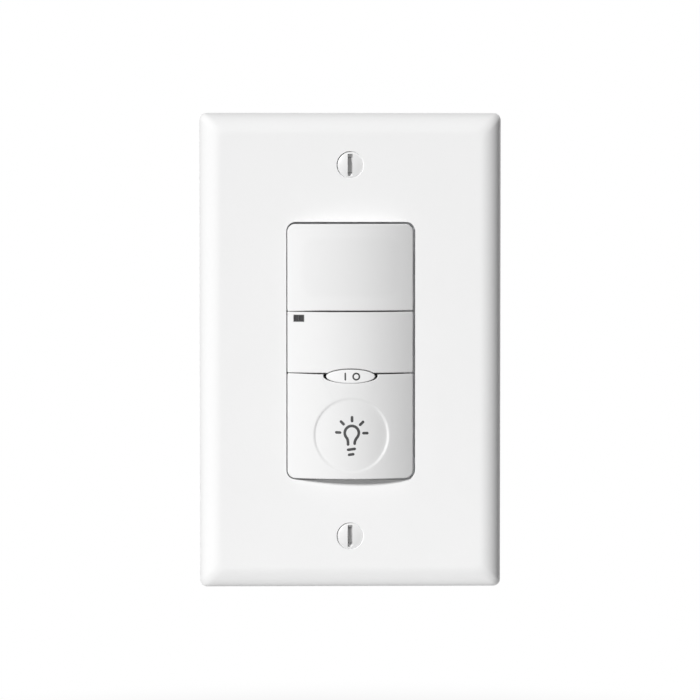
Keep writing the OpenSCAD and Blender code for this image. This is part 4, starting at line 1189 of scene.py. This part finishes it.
softened("housing", "rear_housing", HOUSING_SOFT, housing_rim)
softened("yoke", "mounting_yoke", YOKE_SOFT, yoke_rim, metal("dull zinc", ZINC, 0.62))

# %% [markdown]
# ## A floor, four lamps and a camera
# The switch is shown against white, as in a catalogue. The floor lies a little below it and takes its
# shadow. A glow makes it white, for rays that look straight at it, but would wash the shadow out, so it is
# weaker under the switch than further out.

# %% Floor
FLOOR_Z = CAD_BOX[0][2] - 0.06
FLOOR_R = 2.5
WHITE_FROM = 0.05
WHITE_AT = 0.24
turn = np.linspace(0, 2 * np.pi, 96, endpoint=False)
reach = np.array([0, 0.1, 0.3, 1.0])[:, None, None] * FLOOR_R
flat = reach * unit(turn)
grid = np.concatenate([flat, np.full(flat.shape[:2] + (1,), FLOOR_Z)], -1) / MM
floor_mesh = surface("floor", [(grid, False, True)])
floor = show(bpy.data.objects.new("floor", floor_mesh))
paper = Finish("floor paper")
away = paper.node("ShaderNodeVectorMath", {"operation": "DISTANCE"},
                  {0: paper.place(), 1: (0, 0, FLOOR_Z)}, "Value")
white = paper.between(away, WHITE_FROM, WHITE_AT, 0.5, 1.0)
glow = paper.node("ShaderNodeEmission", {}, {"Color": (1, 1, 1, 1), "Strength": 1.0})
grey = paper.between(away, 0.1, 0.2, 0.5, 0.12)
paper.done(Base_Color=paper.tinted((1, 1, 1), grey), Roughness=0.9)
lit = Value(paper, paper.shader.outputs[0])
mixed = paper.node("ShaderNodeMixShader", {}, {0: paper.seen() * white, 1: lit, 2: glow})
paper.tree.links.new(mixed.socket, paper.tree.nodes["Material Output"].inputs["Surface"])
floor_mesh.materials.append(paper.material)
floor.visible_shadow = False
print("floor", round(-FLOOR_Z / MM, 1), "mm below the middle of the plate")

# %% [markdown]
# The world is white to the camera and to mirrors, and a weak grey to everything else. The key lamp at the
# upper left shades the bulge from left to right and draws the shadow under it. The fill by the camera lifts
# the shade a little, the low lamp lights the lower bevel, and the back lamp is for views from behind.

# %% World and lights
AMBIENT = 0.08
world = bpy.data.worlds.new("white room")
bpy.context.scene.world = world
world.use_nodes = True
room = Nodes(world.node_tree)
strength = room.seen() * (1 - AMBIENT) + AMBIENT
room.plug(world.node_tree.nodes["Background"].inputs, {"Color": (1, 1, 1, 1), "Strength": strength})


def aim(way):
    """The turn that points a lamp or camera along a direction with its top up."""
    return Vector(way).to_track_quat("-Z", "Y").to_euler()


def lamp(name, towards, distance, size, level):
    """A square lamp that looks at the switch and alone would light a facing white card to a level."""
    light = bpy.data.lights.new(name, "AREA")
    light.energy = level * math.pi ** 2 * distance ** 2
    light.size = size
    lit = show(bpy.data.objects.new(name, light))
    towards = np.array(towards, float) / np.linalg.norm(towards)
    lit.location = towards * distance
    lit.rotation_euler = aim(-towards)
    print(name, round(light.energy, 1), "W")


lamp("key", (-0.49, -0.80, 0.315), 6.0, 0.72, 1.0)
lamp("fill", (0.1, -1.0, 0.1), 3.0, 2.0, 0.06)
lamp("low", (0.25, 0.25, -0.93), 4.0, 1.0, 0.4)
lamp("back", (0.5, 0.8, 0.3), 3.0, 1.5, 0.55)

# %% [markdown]
# The camera stands 0.8 m off with a long lens, two degrees above the middle and a little to the left. A
# pixel's size on the plate's front sets the focal length: sensor width times distance over picture width.

# %% Camera
PIXEL = 0.2607 * MM
DISTANCE = 0.8
AZIMUTH = math.radians(1.2)
ELEVATION = math.radians(2.3)
PICTURE = 700
SENSOR = 36
AIM = (-0.16, FRONT, 0.245)
eye = bpy.data.cameras.new("camera")
eye.sensor_width = SENSOR
eye.lens = SENSOR * DISTANCE / (PICTURE * PIXEL)
eye.clip_end = 20
camera = show(bpy.data.objects.new("camera", eye))
back = np.array([-math.sin(AZIMUTH) * math.cos(ELEVATION), -math.cos(AZIMUTH) * math.cos(ELEVATION),
                 math.sin(ELEVATION)])
camera.location = np.array(AIM) * MM + back * DISTANCE
camera.rotation_euler = aim(-back)
bpy.context.scene.camera = camera
bpy.context.scene.view_settings.view_transform = "Standard"
print("lens", round(eye.lens, 1), "mm")
